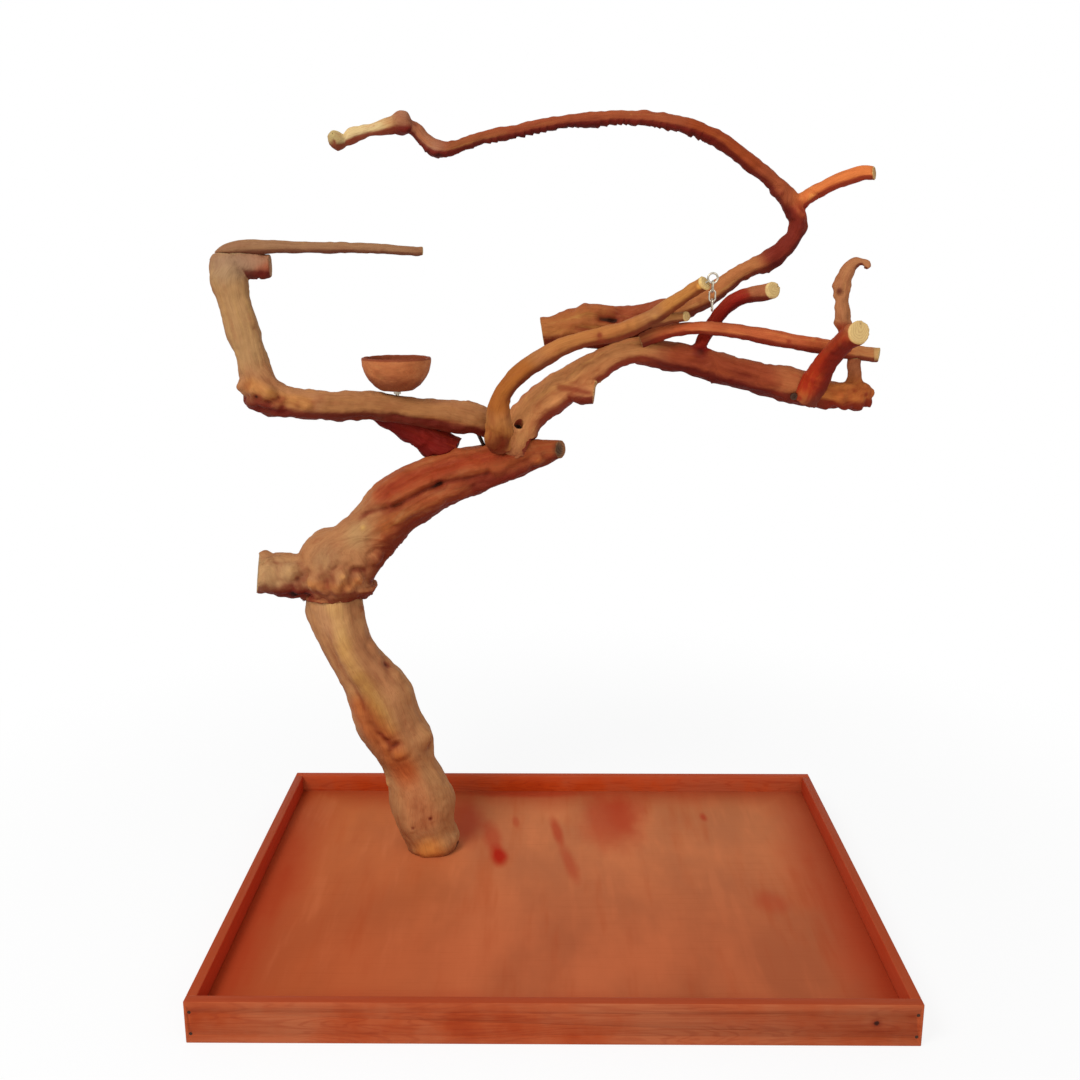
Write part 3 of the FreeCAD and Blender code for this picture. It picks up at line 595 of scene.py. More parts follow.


# Marks on the wood: places in millimetres, how wide, how proud (or deep), how dark (below 0: how pale);
# the darkness in clefts and crevices is painted shade, the paleness on knob tops a painted highlight, the
# rest the wood's own dark and pale spots.
MARKS = {
    "lower_trunk": [
        ([(-260, 86, 388)], 8, 4.5, 0.4),
        ([(-246, 92, 356)], 7, -3.0, 0.3),
        ([(-238, 92, 334)], 10, 4.0, 0.1),
        ([(-225, 90, 308)], 7, -5.0, 0.85),
        ([(-214, 90, 292)], 9, 3.5, 0.1),
        ([(-200, 90, 262)], 8, 2.5, 0.1),
        ([(-219, 62, 195), (-210, 62, 200)], 4, -4.5, 0.8),
        ([(-226, 62, 203), (-236, 65, 214), (-246, 70, 226)], 7, -3.0, 0.45),
        ([(-213, 62, 184), (-203, 63, 187)], 7, 4.0, -0.2),
        ([(-232, 62, 190)], 7, 3.0, 0.15),
        ([(-172, 86, 204)], 13, 6.0, -0.05),
        ([(-168, 96, 184)], 9, -4.0, 0.3),
        ([(-234, 90, 130)], 6, 4.0, -0.5),
        ([(-169, 65, 88)], 3.2, -1.5, 0.9),
        ([(-194, 64, 75)], 2.6, -1.2, 0.6),
        ([(-180, 61, 130), (-176, 62, 60)], 6, -1.8, 0.1),
        ([(-200, 62, 120), (-198, 63, 50)], 7, 1.6, -0.05),
        ([(-285, 63, 399), (-275, 62, 325), (-251, 60, 282), (-222, 60, 226)], 12, 2.5, -0.05),
        ([(-262, 62, 390), (-250, 62, 330), (-222, 62, 270)], 8, -2.2, 0.05),
        ([(-300, 70, 350), (-282, 66, 300), (-258, 66, 250)], 6, -2.0, 0.2),
        ([(-222, 100, 66), (-212, 100, 44)], 22, -5.0, 0.0),
        ([(-132, 100, 62), (-136, 100, 46)], 22, -5.0, 0.0),
        ([(-230, 140, 300), (-205, 142, 220)], 9, -3.0, 0.3),
        ([(-200, 142, 140)], 12, 4.0, 0.1),
        ([(-150, 120, 120), (-146, 112, 60)], 7, -2.0, 0.2),
    ],
    "main_limb": [
        ([(-344, 56, 447)], 10, 8.0, -0.12),
        ([(-336, 58, 436)], 5, -4.0, 0.55),
        ([(-327, 54, 442)], 6, -4.0, 0.25),
        ([(-316, 50, 430)], 10, 8.0, -0.15),
        ([(-303, 50, 420)], 7, 5.0, 0.05),
        ([(-298, 48, 436)], 7, -4.0, 0.3),
        ([(-285, 48, 424)], 8, 6.0, -0.2),
        ([(-274, 50, 440)], 9, 8.0, -0.3),
        ([(-264, 54, 424)], 7, 6.0, 0.1),
        ([(-256, 62, 434)], 8, 6.5, -0.1),
        ([(-287, 50, 452), (-276, 51, 460)], 5, -4.0, 0.4),
        ([(-258, 60, 447), (-246, 68, 444)], 5, -4.5, 0.7),
        ([(-228, 72, 458)], 9, 9.0, 0.4),
        ([(-222, 74, 452)], 4, 4.0, 0.8),
        ([(-346, 66, 412), (-325, 66, 407)], 10, -4.0, 0.75),
        ([(-336, 64, 417)], 5, 3.0, 0.3),
        ([(-249, 70, 503)], 6, 1.5, -0.3),
        ([(-327, 62, 464)], 8, -2.5, 0.05),
        ([(-382, 80, 466)], 8, 6.0, 0.2),
        ([(-367, 64, 462), (-358, 66, 450)], 5, -3.0, 0.35),
        ([(-372, 60, 440), (-395, 60, 436)], 7, 1.5, -0.1),
        ([(-360, 60, 428), (-344, 58, 424)], 6, -2.5, 0.35),
        ([(-300, 66, 500), (-270, 82, 520), (-225, 84, 555)], 9, -2.5, 0.1),
        ([(-262, 88, 506), (-246, 75, 522), (-219, 66, 529)], 5, -5.0, 0.45),
        ([(-219, 66, 529), (-202, 65, 534)], 4, -4.5, 0.5),
        ([(-206, 65, 531), (-184, 67, 543), (-166, 69, 553), (-146, 72, 560)], 4.2, -9.0, 0.95),
        ([(-200, 66, 543), (-176, 69, 556), (-140, 74, 570), (-100, 80, 580)], 9, 4.5, 0.0),
        ([(-196, 68, 517), (-160, 72, 536), (-120, 78, 549)], 11, 4.0, -0.06),
        ([(-150, 74, 562), (-116, 78, 566), (-84, 82, 572)], 5, -4.0, 0.5),
        ([(-222, 76, 556), (-180, 76, 576), (-130, 80, 590)], 5, -3.0, 0.3),
        ([(-190, 84, 580), (-140, 86, 596), (-80, 90, 608)], 5, -2.2, 0.3),
        ([(-240, 72, 486), (-215, 74, 500), (-180, 74, 514)], 5, -3.0, 0.2),
        ([(-136, 76, 538), (-100, 80, 556), (-60, 84, 568)], 6, -3.5, 0.4),
        ([(-90, 84, 552), (-60, 88, 566), (-36, 90, 576)], 7, 4.0, 0.3),
        ([(-18, 84, 584)], 9, 6.5, -0.2),
        ([(-6, 88, 592)], 6, -3.0, 0.5),
        ([(-60, 84, 592), (-36, 86, 600)], 7, 3.0, 0.1),
        (
            [(-338, 84, 403), (-324, 62, 403), (-297, 54, 403), (-270, 62, 403), (-256, 84, 403)],
            8, -4.5, 0.05,
        ),
        ([(-4, 88, 596), (8, 90, 598)], 6, -3.0, 0.3),
        ([(-290, 140, 440)], 14, 8.0, 0.1),
        ([(-262, 142, 462), (-200, 138, 520), (-140, 138, 556)], 6, -7.0, 0.7),
        ([(-320, 134, 432)], 9, -4.0, 0.6),
        ([(-240, 140, 520), (-170, 140, 570)], 8, 4.0, 0.0),
    ],
    "left_arm": [
        ([(-394, 54, 688)], 9, 8.0, 0.2),
        ([(-378, 44, 682)], 7, 6.0, -0.15),
        ([(-368, 44, 672)], 4, -4.0, 0.5),
        ([(-358, 44, 683)], 9, 7.5, -0.35),
        ([(-359, 46, 669)], 5, -5.0, 0.85),
        ([(-384, 52, 665)], 7, 6.0, -0.25),
        ([(-350, 46, 662)], 6, 4.0, 0.2),
        ([(-386, 54, 662), (-366, 50, 657), (-340, 51, 655)], 5, -4.0, 0.8),
        ([(-373, 47, 677)], 3.5, -4.0, 0.8),
        ([(-345, 50, 676)], 3.5, -3.0, 0.6),
        ([(-371, 47, 690)], 8, 3.0, -0.3),
        ([(-330, 50, 668)], 6, -2.0, 0.2),
        ([(-313, 55, 664)], 6.5, 5.5, -0.1),
        ([(-313, 52, 664)], 2.6, -4.0, 0.7),
        ([(-400, 62, 836), (-392, 66, 842)], 6, -2.0, 0.3),
        ([(-345, 50, 651), (-300, 58, 645), (-230, 66, 642)], 5, -1.5, 0.6),
        ([(-342, 51, 662)], 3, -1.5, 0.7),
        ([(-399, 68, 668), (-380, 60, 655)], 6, 3.0, 0.5),
        ([(-425, 79, 846)], 8, 3.0, 0.2),
        ([(-366, 84, 826)], 5, -1.5, 0.5),
        ([(-120, 84, 640), (-160, 79, 640), (-205, 76, 646)], 5, -2.2, 0.35),
        ([(-90, 84, 628)], 7, 2.5, 0.3),
        ([(-385, 96, 700)], 10, 5.0, 0.2),
        ([(-400, 104, 760)], 6, -2.5, 0.5),
    ],
    "right_limb": [
        ([(-48, 88, 616)], 9, 3.0, -0.2),
        ([(372, 74, 655)], 8, 7.0, 0.4),
        ([(356, 72, 660)], 5, -4.0, 0.5),
        ([(399, 80, 694)], 6, 8.0, 0.2),
        ([(410, 84, 660)], 6, 8.0, 0.5),
        ([(418, 86, 678)], 6, 6.0, 0.3),
        ([(402, 76, 676)], 5, -4.0, 0.6),
        ([(330, 70, 664), (310, 74, 662)], 6, 3.0, 0.2),
        ([(386, 72, 684)], 6, -3.0, 0.6),
        ([(360, 70, 690)], 7, 3.0, 0.2),
        ([(-20, 92, 660), (30, 96, 690), (70, 98, 714)], 6, -2.0, 0.2),
        ([(120, 96, 724), (180, 90, 716), (250, 78, 700)], 6, -2.2, 0.35),
        ([(140, 96, 702), (220, 84, 690), (290, 74, 674)], 6, 1.8, 0.2),
        ([(9, 95, 684), (48, 92, 676)], 6, -2.0, 0.45),
        ([(30, 94, 700), (70, 98, 716)], 7, 2.0, 0.0),
        ([(190, 98, 728)], 12, 2.0, 0.85),
        ([(60, 98, 704), (120, 99, 716)], 5, -1.6, 0.35),
        ([(240, 86, 700), (290, 76, 690)], 6, -2.0, 0.3),
        ([(368, 72, 672)], 7, 2.5, 0.1),
        ([(404, 88, 668)], 7, 3.0, 0.2),
        ([(318, 72, 664)], 6, -2.0, 0.9),
        ([(150, 136, 724)], 8, 4.0, 0.4),
        ([(40, 138, 690), (100, 140, 716)], 6, -3.0, 0.5),
    ],
    "arch_branch": [
        ([(150, 118, 792), (200, 126, 812)], 7, 1.5, -0.1),
        ([(44, 116, 784), (68, 114, 788)], 12, 6.5, 0.0),
        ([(62, 112, 770), (80, 110, 769)], 5.5, -8.0, 1.5),
        ([(92, 106, 782)], 7, 3.5, 0.05),
        ([(112, 110, 776)], 6, -6.0, 1.0),
        ([(128, 114, 786), (160, 120, 796)], 7, 3.0, 0.0),
        ([(30, 106, 758), (70, 106, 752)], 5, -3.0, 0.5),
        ([(-16, 112, 768)], 5, 3.0, 0.5),
        ([(-17, 114, 740)], 5, -3.0, 0.6),
        ([(309, 124, 905), (318, 124, 898)], 7, 3.0, -0.25),
        ([(290, 124, 925)], 5, 2.0, 0.4),
        ([(-183, 60, 1013)], 9, 4.0, 0.15),
        ([(-174, 60, 996)], 6, 3.0, 0.7),
        ([(-163, 62, 1004)], 5, -2.5, 0.6),
        ([(-139, 66, 968)], 7, 1.5, 0.3),
        ([(100, 112, 782), (130, 116, 782)], 6, 2.0, 0.0),
        ([(20, 108, 745), (60, 106, 742)], 6, -3.0, 0.4),
        ([(45, 104, 785)], 9, 5.0, 0.0),
        ([(315, 127, 884)], 6, 2.5, 0.2),
        ([(304, 126, 905)], 6, -2.0, 0.5),
        ([(-262, 49, 981)], 3, -2.0, 0.8),
        ([(60, 158, 770)], 8, 4.0, 0.3),
    ],
    "climbing_branch": [
        ([(91, 70, 762)], 6, 2.0, 0.0),
        ([(59, 68, 752)], 5, -1.5, 0.5),
        ([(-86, 62, 612)], 12, 8.0, -0.1),
        ([(-50, 66, 606)], 9, 5.0, -0.2),
        ([(-73, 54, 634), (-60, 53, 650)], 8, 1.5, -0.1),
        ([(-78, 52, 640), (-80, 50, 665), (-66, 50, 692)], 4, -1.6, 0.35),
        ([(70, 66, 756), (100, 70, 764)], 7, 2.5, -0.1),
        ([(128, 72, 774)], 6, 2.5, -0.2),
        ([(182, 60, 812)], 5, 2.0, -0.5),
        ([(-56, 60, 618)], 6, -2.0, 0.35),
    ],
    "end_stub": [
        ([(318, 68, 676)], 12, 1.5, -0.2),
        ([(349, 40, 806)], 4, 2.5, 0.6),
        ([(366, 42, 806)], 4, 2.5, 0.2),
        ([(352, 52, 822)], 4, 1.8, 0.9),
        ([(342, 34, 730), (352, 24, 738)], 5, -1.2, 0.3),
    ],
    "cross_perch": [
        ([(300, 83, 742)], 4, -1.2, 0.5),
        ([(180, 85, 756)], 4, 1.2, 0.2),
    ],
    "left_perch": [
        ([(-170, 84, 857)], 4, -1.0, 0.2),
        ([(-214, 84, 855)], 4, 1.4, 0.3),
    ],
    "arm_brace": [
        ([(-150, 94, 604), (-200, 96, 628), (-235, 98, 648)], 5, -3.0, 0.5),
        ([(-170, 92, 598), (-215, 96, 626)], 5, 2.5, 0.1),
    ],
}


def tint_trunk(points):
    band = from_line(points, [(-292, 60, 405), (-275, 60, 325), (-251, 58, 282), (-222, 56, 225)])
    return 0.5 * eased(band, 0.026, 0.0)


def tint_limb(points):
    return np.clip(eased(points[:, 0], -0.275, -0.2) + eased(points[:, 2], 0.43, 0.40) * 0.5, 0, 1)


def tint_arch(points):
    return eased(points[:, 0], -0.11, -0.16) * eased(points[:, 2], 0.9, 0.95)


def tint_right(points):
    prong = eased(from_line(points, [(192, 112, 735), (208, 116, 765), (240, 113, 795)]), 0.02, 0.012)
    return np.clip(prong + 0.25 * eased(points[:, 0], 0.0, 0.2), 0, 1)


def tint_stub(points):
    return eased(from_line(points, [(322, 78, 690), (345, 52, 722), (356, 34, 742)]), 0.034, 0.02)


def tint_cross(points):
    return 0.15 + 0.85 * eased(points[:, 0], 0.36, 0.39)


def tint_even(points):
    return np.full(len(points), 0.3)


# Ends of the branches: place in millimetres, the way that the face looks, its radius, how fresh it is.
ENDS = {
    "main_limb": [
        ((-391, 74, 440), (-0.95, -0.26, 0.13), 28, 0.15),
        ((11, 106, 601), (0.86, -0.5, 0.1), 14, 0.0),
    ],
    "left_arm": [((-358, 99, 837), (1, 0.1, 0), 15, 0.15), ((-409, 96, 851), (0, 0.1, 1), 18, 0.2)],
    "arm_brace": [((-246, 104, 657), (-0.85, 0, 0.5), 11, 0.1)],
    "left_perch": [((-423, 94, 848), (-0.85, 0, -0.5), 8, 0.4), ((-163, 87, 855), (1, 0, 0), 7, 0.45)],
    "right_limb": [
        ((55, 106, 675), (0.95, -0.15, -0.1), 16, 0.15),
        ((282, 103, 807), (0.6, -0.78, 0.2), 13, 0.9),
        ((386, 93, 722), (0, 0, 1), 10, 0.5),
    ],
    "climbing_branch": [
        ((190, 67, 816), (0.6, -0.6, 0.5), 12, 0.9),
        ((171, 88, 774), (0.8, -0.5, 0.1), 8, 0.8),
    ],
    "arch_branch": [((-14, 132, 752), (-1, 0, -0.1), 23, 0.2), ((401, 106, 948), (0.9, -0.4, 0), 10, 0.5)],
    "cross_perch": [
        ((113, 102, 742), (-0.9, -0.2, -0.3), 10, 0.3),
        ((412, 91, 732), (0.95, -0.2, 0.1), 12, 0.7),
    ],
    "end_stub": [((371, 14, 759), (0.3, -0.93, 0.2), 16, 0.82)],
}

# Ends sawn on the slant: place, the way of the branch, the way that the new face looks, and its radius.
SLANTS = {
    "main_limb": [((11, 106, 601), (0.98, 0, 0.15), (0.86, -0.5, 0.1), 13)],
    "right_limb": [((282, 103, 807), (0.94, -0.25, 0.22), (0.6, -0.78, 0.2), 10)],
    "climbing_branch": [
        ((190, 67, 816), (0.8, -0.16, 0.55), (0.6, -0.6, 0.5), 9),
        ((171, 88, 774), (0.98, 0.1, 0.1), (0.8, -0.55, 0.1), 7),
    ],
    "cross_perch": [((412, 91, 732), (1, 0, 0.05), (0.93, -0.35, 0.1), 9)],
    "arch_branch": [((401, 106, 948), (0.93, -0.35, 0.05), (0.85, -0.5, 0.15), 9)],
}

# Where the wood's colour changes from place to place: line, reach, and the change in red, green and blue;
# the rows marked below are painted shade or painted light.
WASH = {
    "lower_trunk": [
        ([(-262, 70, 245), (-234, 62, 205), (-205, 62, 158)], 36, (0.97, 0.6, 0.4)),
        ([(-297, 60, 405), (-292, 60, 370)], 34, (1.12, 1.2, 1.35)),
        ([(-205, 62, 150), (-180, 62, 90)], 34, (1.08, 0.9, 0.88)),
        ([(-258, 60, 290), (-238, 60, 240)], 24, (0.8, 0.74, 0.63)),
        ([(-172, 66, 36)], 32, (1.42, 1.2, 0.7)),
        ([(-255, 84, 340), (-222, 84, 270), (-205, 86, 215)], 26, (0.9, 0.82, 0.85)),
    ],
    "main_limb": [
        ([(-391, 60, 440), (-355, 60, 440)], 42, (1.08, 1.35, 1.5)),
        ([(-300, 50, 470)], 34, (0.88, 0.98, 1.04)),
        ([(-255, 66, 495), (-200, 66, 520)], 30, (1.02, 1.26, 1.3)),
        ([(-215, 74, 502), (-150, 76, 532), (-110, 80, 545)], 14, (1.25, 1.35, 1.25)),
        ([(-225, 78, 545), (-150, 78, 580), (-60, 84, 604)], 18, (0.88, 0.52, 0.42)),
        ([(-70, 80, 590), (0, 92, 600)], 26, (0.9, 0.85, 0.8)),
        ([(-18, 84, 588)], 9, (1.4, 1.6, 1.1)),
        ([(11, 100, 601)], 16, (0.3, 0.38, 0.5)),
        # Painted light: lifts the painted underside shade on the front of the burl's lower lip.
        ([(-320, 60, 402), (-297, 52, 404), (-270, 60, 404)], 12, (1.15, 1.3, 1.3)),
        # Painted shade: dark red under the left of the burl's lower lip.
        ([(-372, 66, 416), (-325, 62, 408)], 16, (0.7, 0.35, 0.3)),
        ([(-320, 52, 428), (-285, 50, 424), (-255, 60, 430)], 12, (1.15, 1.05, 0.85)),
    ],
    "left_arm": [
        ([(-388, 60, 744), (-411, 74, 831)], 60, (0.95, 1.2, 1.25)),
        ([(-411, 74, 835), (-375, 84, 845)], 30, (0.95, 1.05, 1.3)),
        ([(-358, 86, 832), (-366, 84, 828)], 14, (1.0, 0.65, 0.6)),
        # Painted highlight: the top of the elbow's knobs turns amber.
        ([(-378, 50, 690), (-352, 48, 676), (-313, 56, 666)], 16, (1.15, 1.1, 0.8)),
        # Painted shade: dark red along the underside of the arm.
        ([(-345, 52, 656), (-300, 58, 649), (-240, 66, 647)], 9, (0.8, 0.45, 0.35)),
        ([(-160, 82, 636), (-90, 88, 622)], 16, (0.95, 0.65, 0.5)),
        ([(-280, 64, 662), (-190, 74, 658), (-100, 84, 640)], 26, (0.86, 0.82, 0.7)),
        ([(-425, 90, 848), (-360, 86, 838)], 26, (0.88, 0.84, 0.95)),
    ],
    "left_perch": [([(-423, 80, 848), (-163, 80, 855)], 60, (0.76, 0.88, 1.05))],
    # Painted shadow: the whole brace darkened to deep red, as it lies in the left arm's shade.
    "arm_brace": [([(-129, 90, 596), (-246, 90, 657)], 60, (1.0, 0.3, 0.2))],
    "right_limb": [
        ([(-42, 90, 635), (10, 94, 680), (104, 98, 735)], 46, (1.75, 2.2, 2.0)),
        ([(40, 92, 672)], 24, (0.8, 0.7, 0.75)),
        ([(-45, 88, 634)], 11, (1.5, 1.6, 1.9)),
        ([(165, 90, 722), (215, 86, 705), (262, 78, 696)], 40, (0.75, 0.4, 0.3)),
        ([(300, 70, 690)], 34, (1.2, 1.15, 1.0)),
        ([(345, 70, 676), (412, 84, 676)], 34, (1.45, 1.4, 0.8)),
        ([(192, 112, 735), (208, 116, 765), (240, 113, 795)], 22, (1.05, 0.27, 0.12)),
    ],
    "climbing_branch": [
        ([(-70, 66, 622)], 40, (1.1, 0.98, 0.64)),
        ([(-68, 56, 671), (-40, 58, 705)], 34, (0.9, 0.66, 0.32)),
        ([(10, 60, 736), (89, 70, 757)], 40, (1.15, 1.05, 0.85)),
        ([(151, 70, 790), (190, 60, 816)], 26, (1.2, 1.15, 0.8)),
    ],
    "arch_branch": [
        ([(-14, 110, 752), (52, 106, 762)], 46, (1.2, 1.85, 1.5)),
        ([(175, 124, 786), (249, 128, 832)], 46, (1.4, 2.3, 2.3)),
        ([(285, 128, 850), (310, 126, 872), (314, 126, 896)], 28, (0.56, 0.24, 0.3)),
        ([(330, 122, 918), (385, 104, 948)], 34, (2.2, 2.8, 2.2)),
        ([(249, 126, 968), (185, 116, 1006)], 30, (0.92, 0.72, 0.42)),
        ([(-263, 50, 983), (-215, 58, 1000)], 34, (1.76, 2.8, 2.4)),
        ([(-262, 52, 984)], 17, (0.66, 0.68, 0.6)),
        ([(-190, 58, 1004), (-154, 66, 990)], 22, (0.95, 0.8, 0.66)),
        ([(-120, 72, 978), (-60, 84, 991)], 12, (0.8, 0.97, 0.85)),
        ([(-46, 82, 992), (53, 98, 1006)], 14, (0.75, 0.6, 0.6)),
    ],
    "cross_perch": [
        ([(145, 92, 754), (340, 84, 738)], 30, (1.6, 1.55, 1.45)),
        ([(370, 84, 734), (412, 84, 732)], 26, (1.4, 1.3, 1.1)),
    ],
    "end_stub": [
        ([(322, 70, 690), (340, 50, 718)], 28, (1.3, 0.72, 0.36)),
        ([(354, 32, 740), (366, 18, 752)], 24, (1.2, 0.95, 0.6)),
        ([(359, 42, 765), (355, 48, 811), (377, 44, 841)], 26, (1.1, 1.3, 1.35)),
        ([(349, 40, 806)], 7, (0.5, 0.4, 0.4)),
    ],
}

# Round knobs: place, radius. ROUNDNESS is how much of the way to a ball they go.
ROUNDNESS = 0.85
KNOBS = {
    "arch_branch": [((-261, 60, 984), 12.5), ((-182, 67, 1004), 12.5)],
    "end_stub": [((381, 44, 829), 6.5)],
}

# Rougher stretches: line, reach, how much rougher.
ROUGH = {
    "end_stub": [([(357, 46, 752), (355, 50, 811), (377, 47, 841)], 22, 2.6)],
    "right_limb": [
        ([(372, 88, 668), (412, 90, 676)], 34, 2.2),
        ([(188, 112, 720), (198, 114, 748)], 14, 1.6),
    ],
    "arch_branch": [
        (
            [(-263, 60, 983), (-123, 76, 977), (99, 110, 1015), (306, 136, 912), (249, 138, 830)],
            40, 1.7,
        ),
    ],
    "main_limb": [([(-391, 74, 440), (-300, 60, 430), (-250, 66, 445)], 45, 1.5)],
    "left_arm": [([(-385, 60, 670), (-340, 56, 662)], 30, 1.5)],
    "arm_brace": [([(-129, 114, 596), (-246, 104, 657)], 40, 1.6)],
}


def slant_ends(points, node):
    """Shears each end sawn on the slant."""
    for place, way, facing, wide in SLANTS.get(node, []):
        way, facing = unit(np.array([way, facing], float))
        off = points - np.array(place) * MM
        across = off - (off @ way)[:, None] * way
        share = within(np.linalg.norm(off, axis=1), wide, 2.6, 1.2)
        points -= way * (share * (across @ facing) / (way @ facing))[:, None]


def round_knobs(points, node):
    """Rounds the wood near each knob's middle into a ball."""
    for place, wide in KNOBS.get(node, []):
        off = points - np.array(place) * MM
        gap = np.linalg.norm(off, axis=1)
        share = within(gap, wide, 1.45, 1.05) * ROUNDNESS
        points += unit(off) * (share * (wide * MM - gap))[:, None]


def colour_changes_by_place(points, node):
    """How much the colour changes at each point, in red, green and blue, some of it painted shade and
    painted light.
    """
    wash = np.ones((len(points), 3))
    for line, reach, change in WASH.get(node, []):
        share = within(from_line(points, line), reach, 1.0, 0.25)
        wash *= 1 + share[:, None] * (np.array(change) - 1)
    return wash


def scatter(node, points, radius, count):
    """Height and darkness of small buds and pin knots, the same ones each time."""
    luck = np.random.default_rng(sum(map(ord, node)))
    height = np.zeros(len(points))
    dark = np.zeros(len(points))
    for i in luck.integers(0, len(points), count):
        wide = luck.uniform(0.002, 0.005)
        proud = luck.uniform(-0.5, 1.0) * min(0.0016, 0.1 * radius[i] + 0.0003)
        share = np.exp(-((np.linalg.norm(points - points[i], axis=1) / wide) ** 2))
        height += share * proud
        dark += share * luck.uniform(-0.15, 0.35)
    return height, dark


def sawn(points, normals, node):
    """How much of each point is a sawn end, and how fresh that end is."""
    cut = np.zeros(len(points))
    fresh = np.zeros(len(points))
    for place, facing, wide, new in ENDS.get(node, []):
        off = points - np.array(place) * MM
        gap = np.linalg.norm(off, axis=1)
        facing = unit(np.array([facing], float))[0]
        near = within(gap, wide, 1.5, 1.15)
        face = near * eased(normals @ facing, 0.62, 0.85)
        rim = near * eased(off @ facing, -0.0045, -0.0015) * new
        cut = np.maximum(cut, np.maximum(face, 0.75 * rim))
        fresh = np.where(near > 0, new, fresh)
    return cut, fresh


# How far apart the wood's forms lie: the same each way, or across and along the grain.
SWELL, LUMP, GRIT, WOBBLE = 0.034, 0.014, 0.0065, 0.007
FOLD, FURROW, SCALE = (0.011, 0.011, 0.11), (0.0052, 0.0052, 0.05), (0.006, 0.006, 0.009)
FLAKE, FLAKE_BEND = 0.0115, 0.021
FLAKE_HEIGHT = 0.0034
SAWN_FLAT = 0.85  # how much of the carving a saw takes away


def relief(stout, share, most, least=0.0):
    """How high a form stands: a share of the branch's radius and a least height, up to the most."""
    return np.minimum(share * stout + least, most)


def weathered_with_crease_shade(points, grain, normals, stout, node, seed, calmer):
    """Height of the lumps, folds, furrows and scaly undersides, and the painted shade in the troughs of
    the folds and furrows and between the scales.
    """
    rough = np.full(len(points), calmer)
    for line, reach, more in ROUGH.get(node, []):
        rough *= 1 + (more - 1) * within(from_line(points, line), reach, 1.0, 0.5)
    lumps = ripple(points / SWELL + seed) * relief(stout, 0.1, 0.0028)
    lumps += rough * ripple(points / LUMP - seed) * relief(stout, 0.085, 0.0017)
    lumps += rough * ripple(points / GRIT + 2 * seed) * relief(stout, 0.045, 0.0008, 0.0001)
    folds = ripple(grain / FOLD + seed)
    furrows = ripple(grain / FURROW - seed)
    ridged = -np.abs(furrows) * relief(stout, 0.03, 0.0009, 0.0002) * calmer
    height = lumps + folds * relief(stout, 0.05, 0.0016) * calmer + ridged
    # Painted shade in the troughs of the folds and furrows.
    dark = eased(-folds, 0.3, 0.9) * 0.12 * calmer + eased(np.abs(furrows), 0.5, 0.95) * 0.12

    scaly = eased(-normals[:, 2], 0.35, 0.8)
    scales = np.maximum(ripple(grain / SCALE + 3), 0)
    height += scaly * scales * relief(stout, 0.09, 0.0014, 0.0002)
    # Painted shade between the bark scales on the undersides.
    dark += scaly * (1 - scales) * 0.25
    return height, dark


def flake(height, dark, points, grain, normals, line, seed):
    """Adds the loose bark that hangs below a branch, along the line, with painted shade under it."""
    near = eased(from_line(points, line), 0.03, 0.016) * eased(-normals[:, 2], 0.1, 0.6)
    tooth = (grain[:, 2] / FLAKE + 1.1 * ripple(grain / FLAKE_BEND)) % 1
    tall = 0.45 + 0.55 * ripple(np.stack([np.floor(grain[:, 2] / FLAKE) * 0.37] * 3, axis=1) + seed)
    height += near * np.maximum(0, 1 - tooth * 1.3) * np.maximum(tall, 0) * FLAKE_HEIGHT
    # Painted shade under the loose bark.
    dark += near * 0.45


def mark(height, dark, points, cut, node):
    """Adds the knots, clefts and lumps of the marks table, with their darkness: painted shade in clefts
    and in the trough round each lump, painted highlights on knob tops, and the wood's own spots.
    """
    wobble = 1 + 0.4 * ripple(points / WOBBLE)
    for line, wide, proud, shadow in MARKS.get(node, []):
        share = from_line(points, line) / (wide * MM)
        bulge = np.exp(-(share**2)) if proud > 0 else np.exp(-(share**1.3))
        trough = np.exp(-(((share - 1.7) / 0.5) ** 2))
        height += (bulge - 0.2 * trough) * proud * MM * wobble * (1 - cut)
        # Painted shade in clefts and in the trough round each lump; where shadow is below 0, a painted
        # highlight or a pale spot.
        dark += np.exp(-(share**2) * 1.6) * shadow + trough * 0.12 * min(abs(proud) / 4, 1)


def carve(
    node, name, body, butt, material, tint=tint_even, step=1.0, flakes=None, buds=24, calmer=1.0
):
    """Turns a smooth CAD branch into carved wood, and writes down its grain for the material."""
    piece = even_skin(node, name, settings("wood").skin * step)
    mesh = piece.data
    points = read(mesh.vertices, "co", 3)
    slant_ends(points, node)
    round_knobs(points, node)
    write_points(mesh, points)
    points, normals, edges, diagonals = read_skin(mesh)
    grain = follow_heart(points, edges, diagonals, np.array(butt) * MM)
    radius = np.hypot(grain[:, 0], grain[:, 1])
    stout = evened(radius[:, None], edges, 10)[:, 0]
    cut, fresh = sawn(points, normals, node)
    # Painted shade: how much each point looks down, for the dark red undersides.
    below = eased(-normals[:, 2], -0.05, 0.7)

    seed = sum(map(ord, node)) % 37
    height, dark = weathered_with_crease_shade(points, grain, normals, stout, node, seed, calmer)
    bud_height, bud_dark = scatter(node, points, stout, buds)
    height += bud_height
    dark += bud_dark
    if flakes is not None:
        flake(height, dark, points, grain, normals, flakes, seed)
    height *= 1 - SAWN_FLAT * cut
    mark(height, dark, points, cut, node)

    points += normals * height[:, None]
    write_points(mesh, points)
    aged = 1 - cut * np.minimum(2 * fresh, 1)
    # Colour changes by place, some of them painted shade and painted light, kept off fresh sawn faces.
    wash = 1 + (colour_changes_by_place(points, node) - 1) * aged[:, None]
    keep(mesh, grain=grain, cut=cut, fresh=fresh, under=below)
    keep(mesh, hollow=dark * (1 - cut), tint=tint(points), wash=wash)
    mesh.shade_smooth()
    mesh.update()
    paint(piece, material)
    hide_cad(piece, node, body)


# ---------------------------------------------------------------- operators


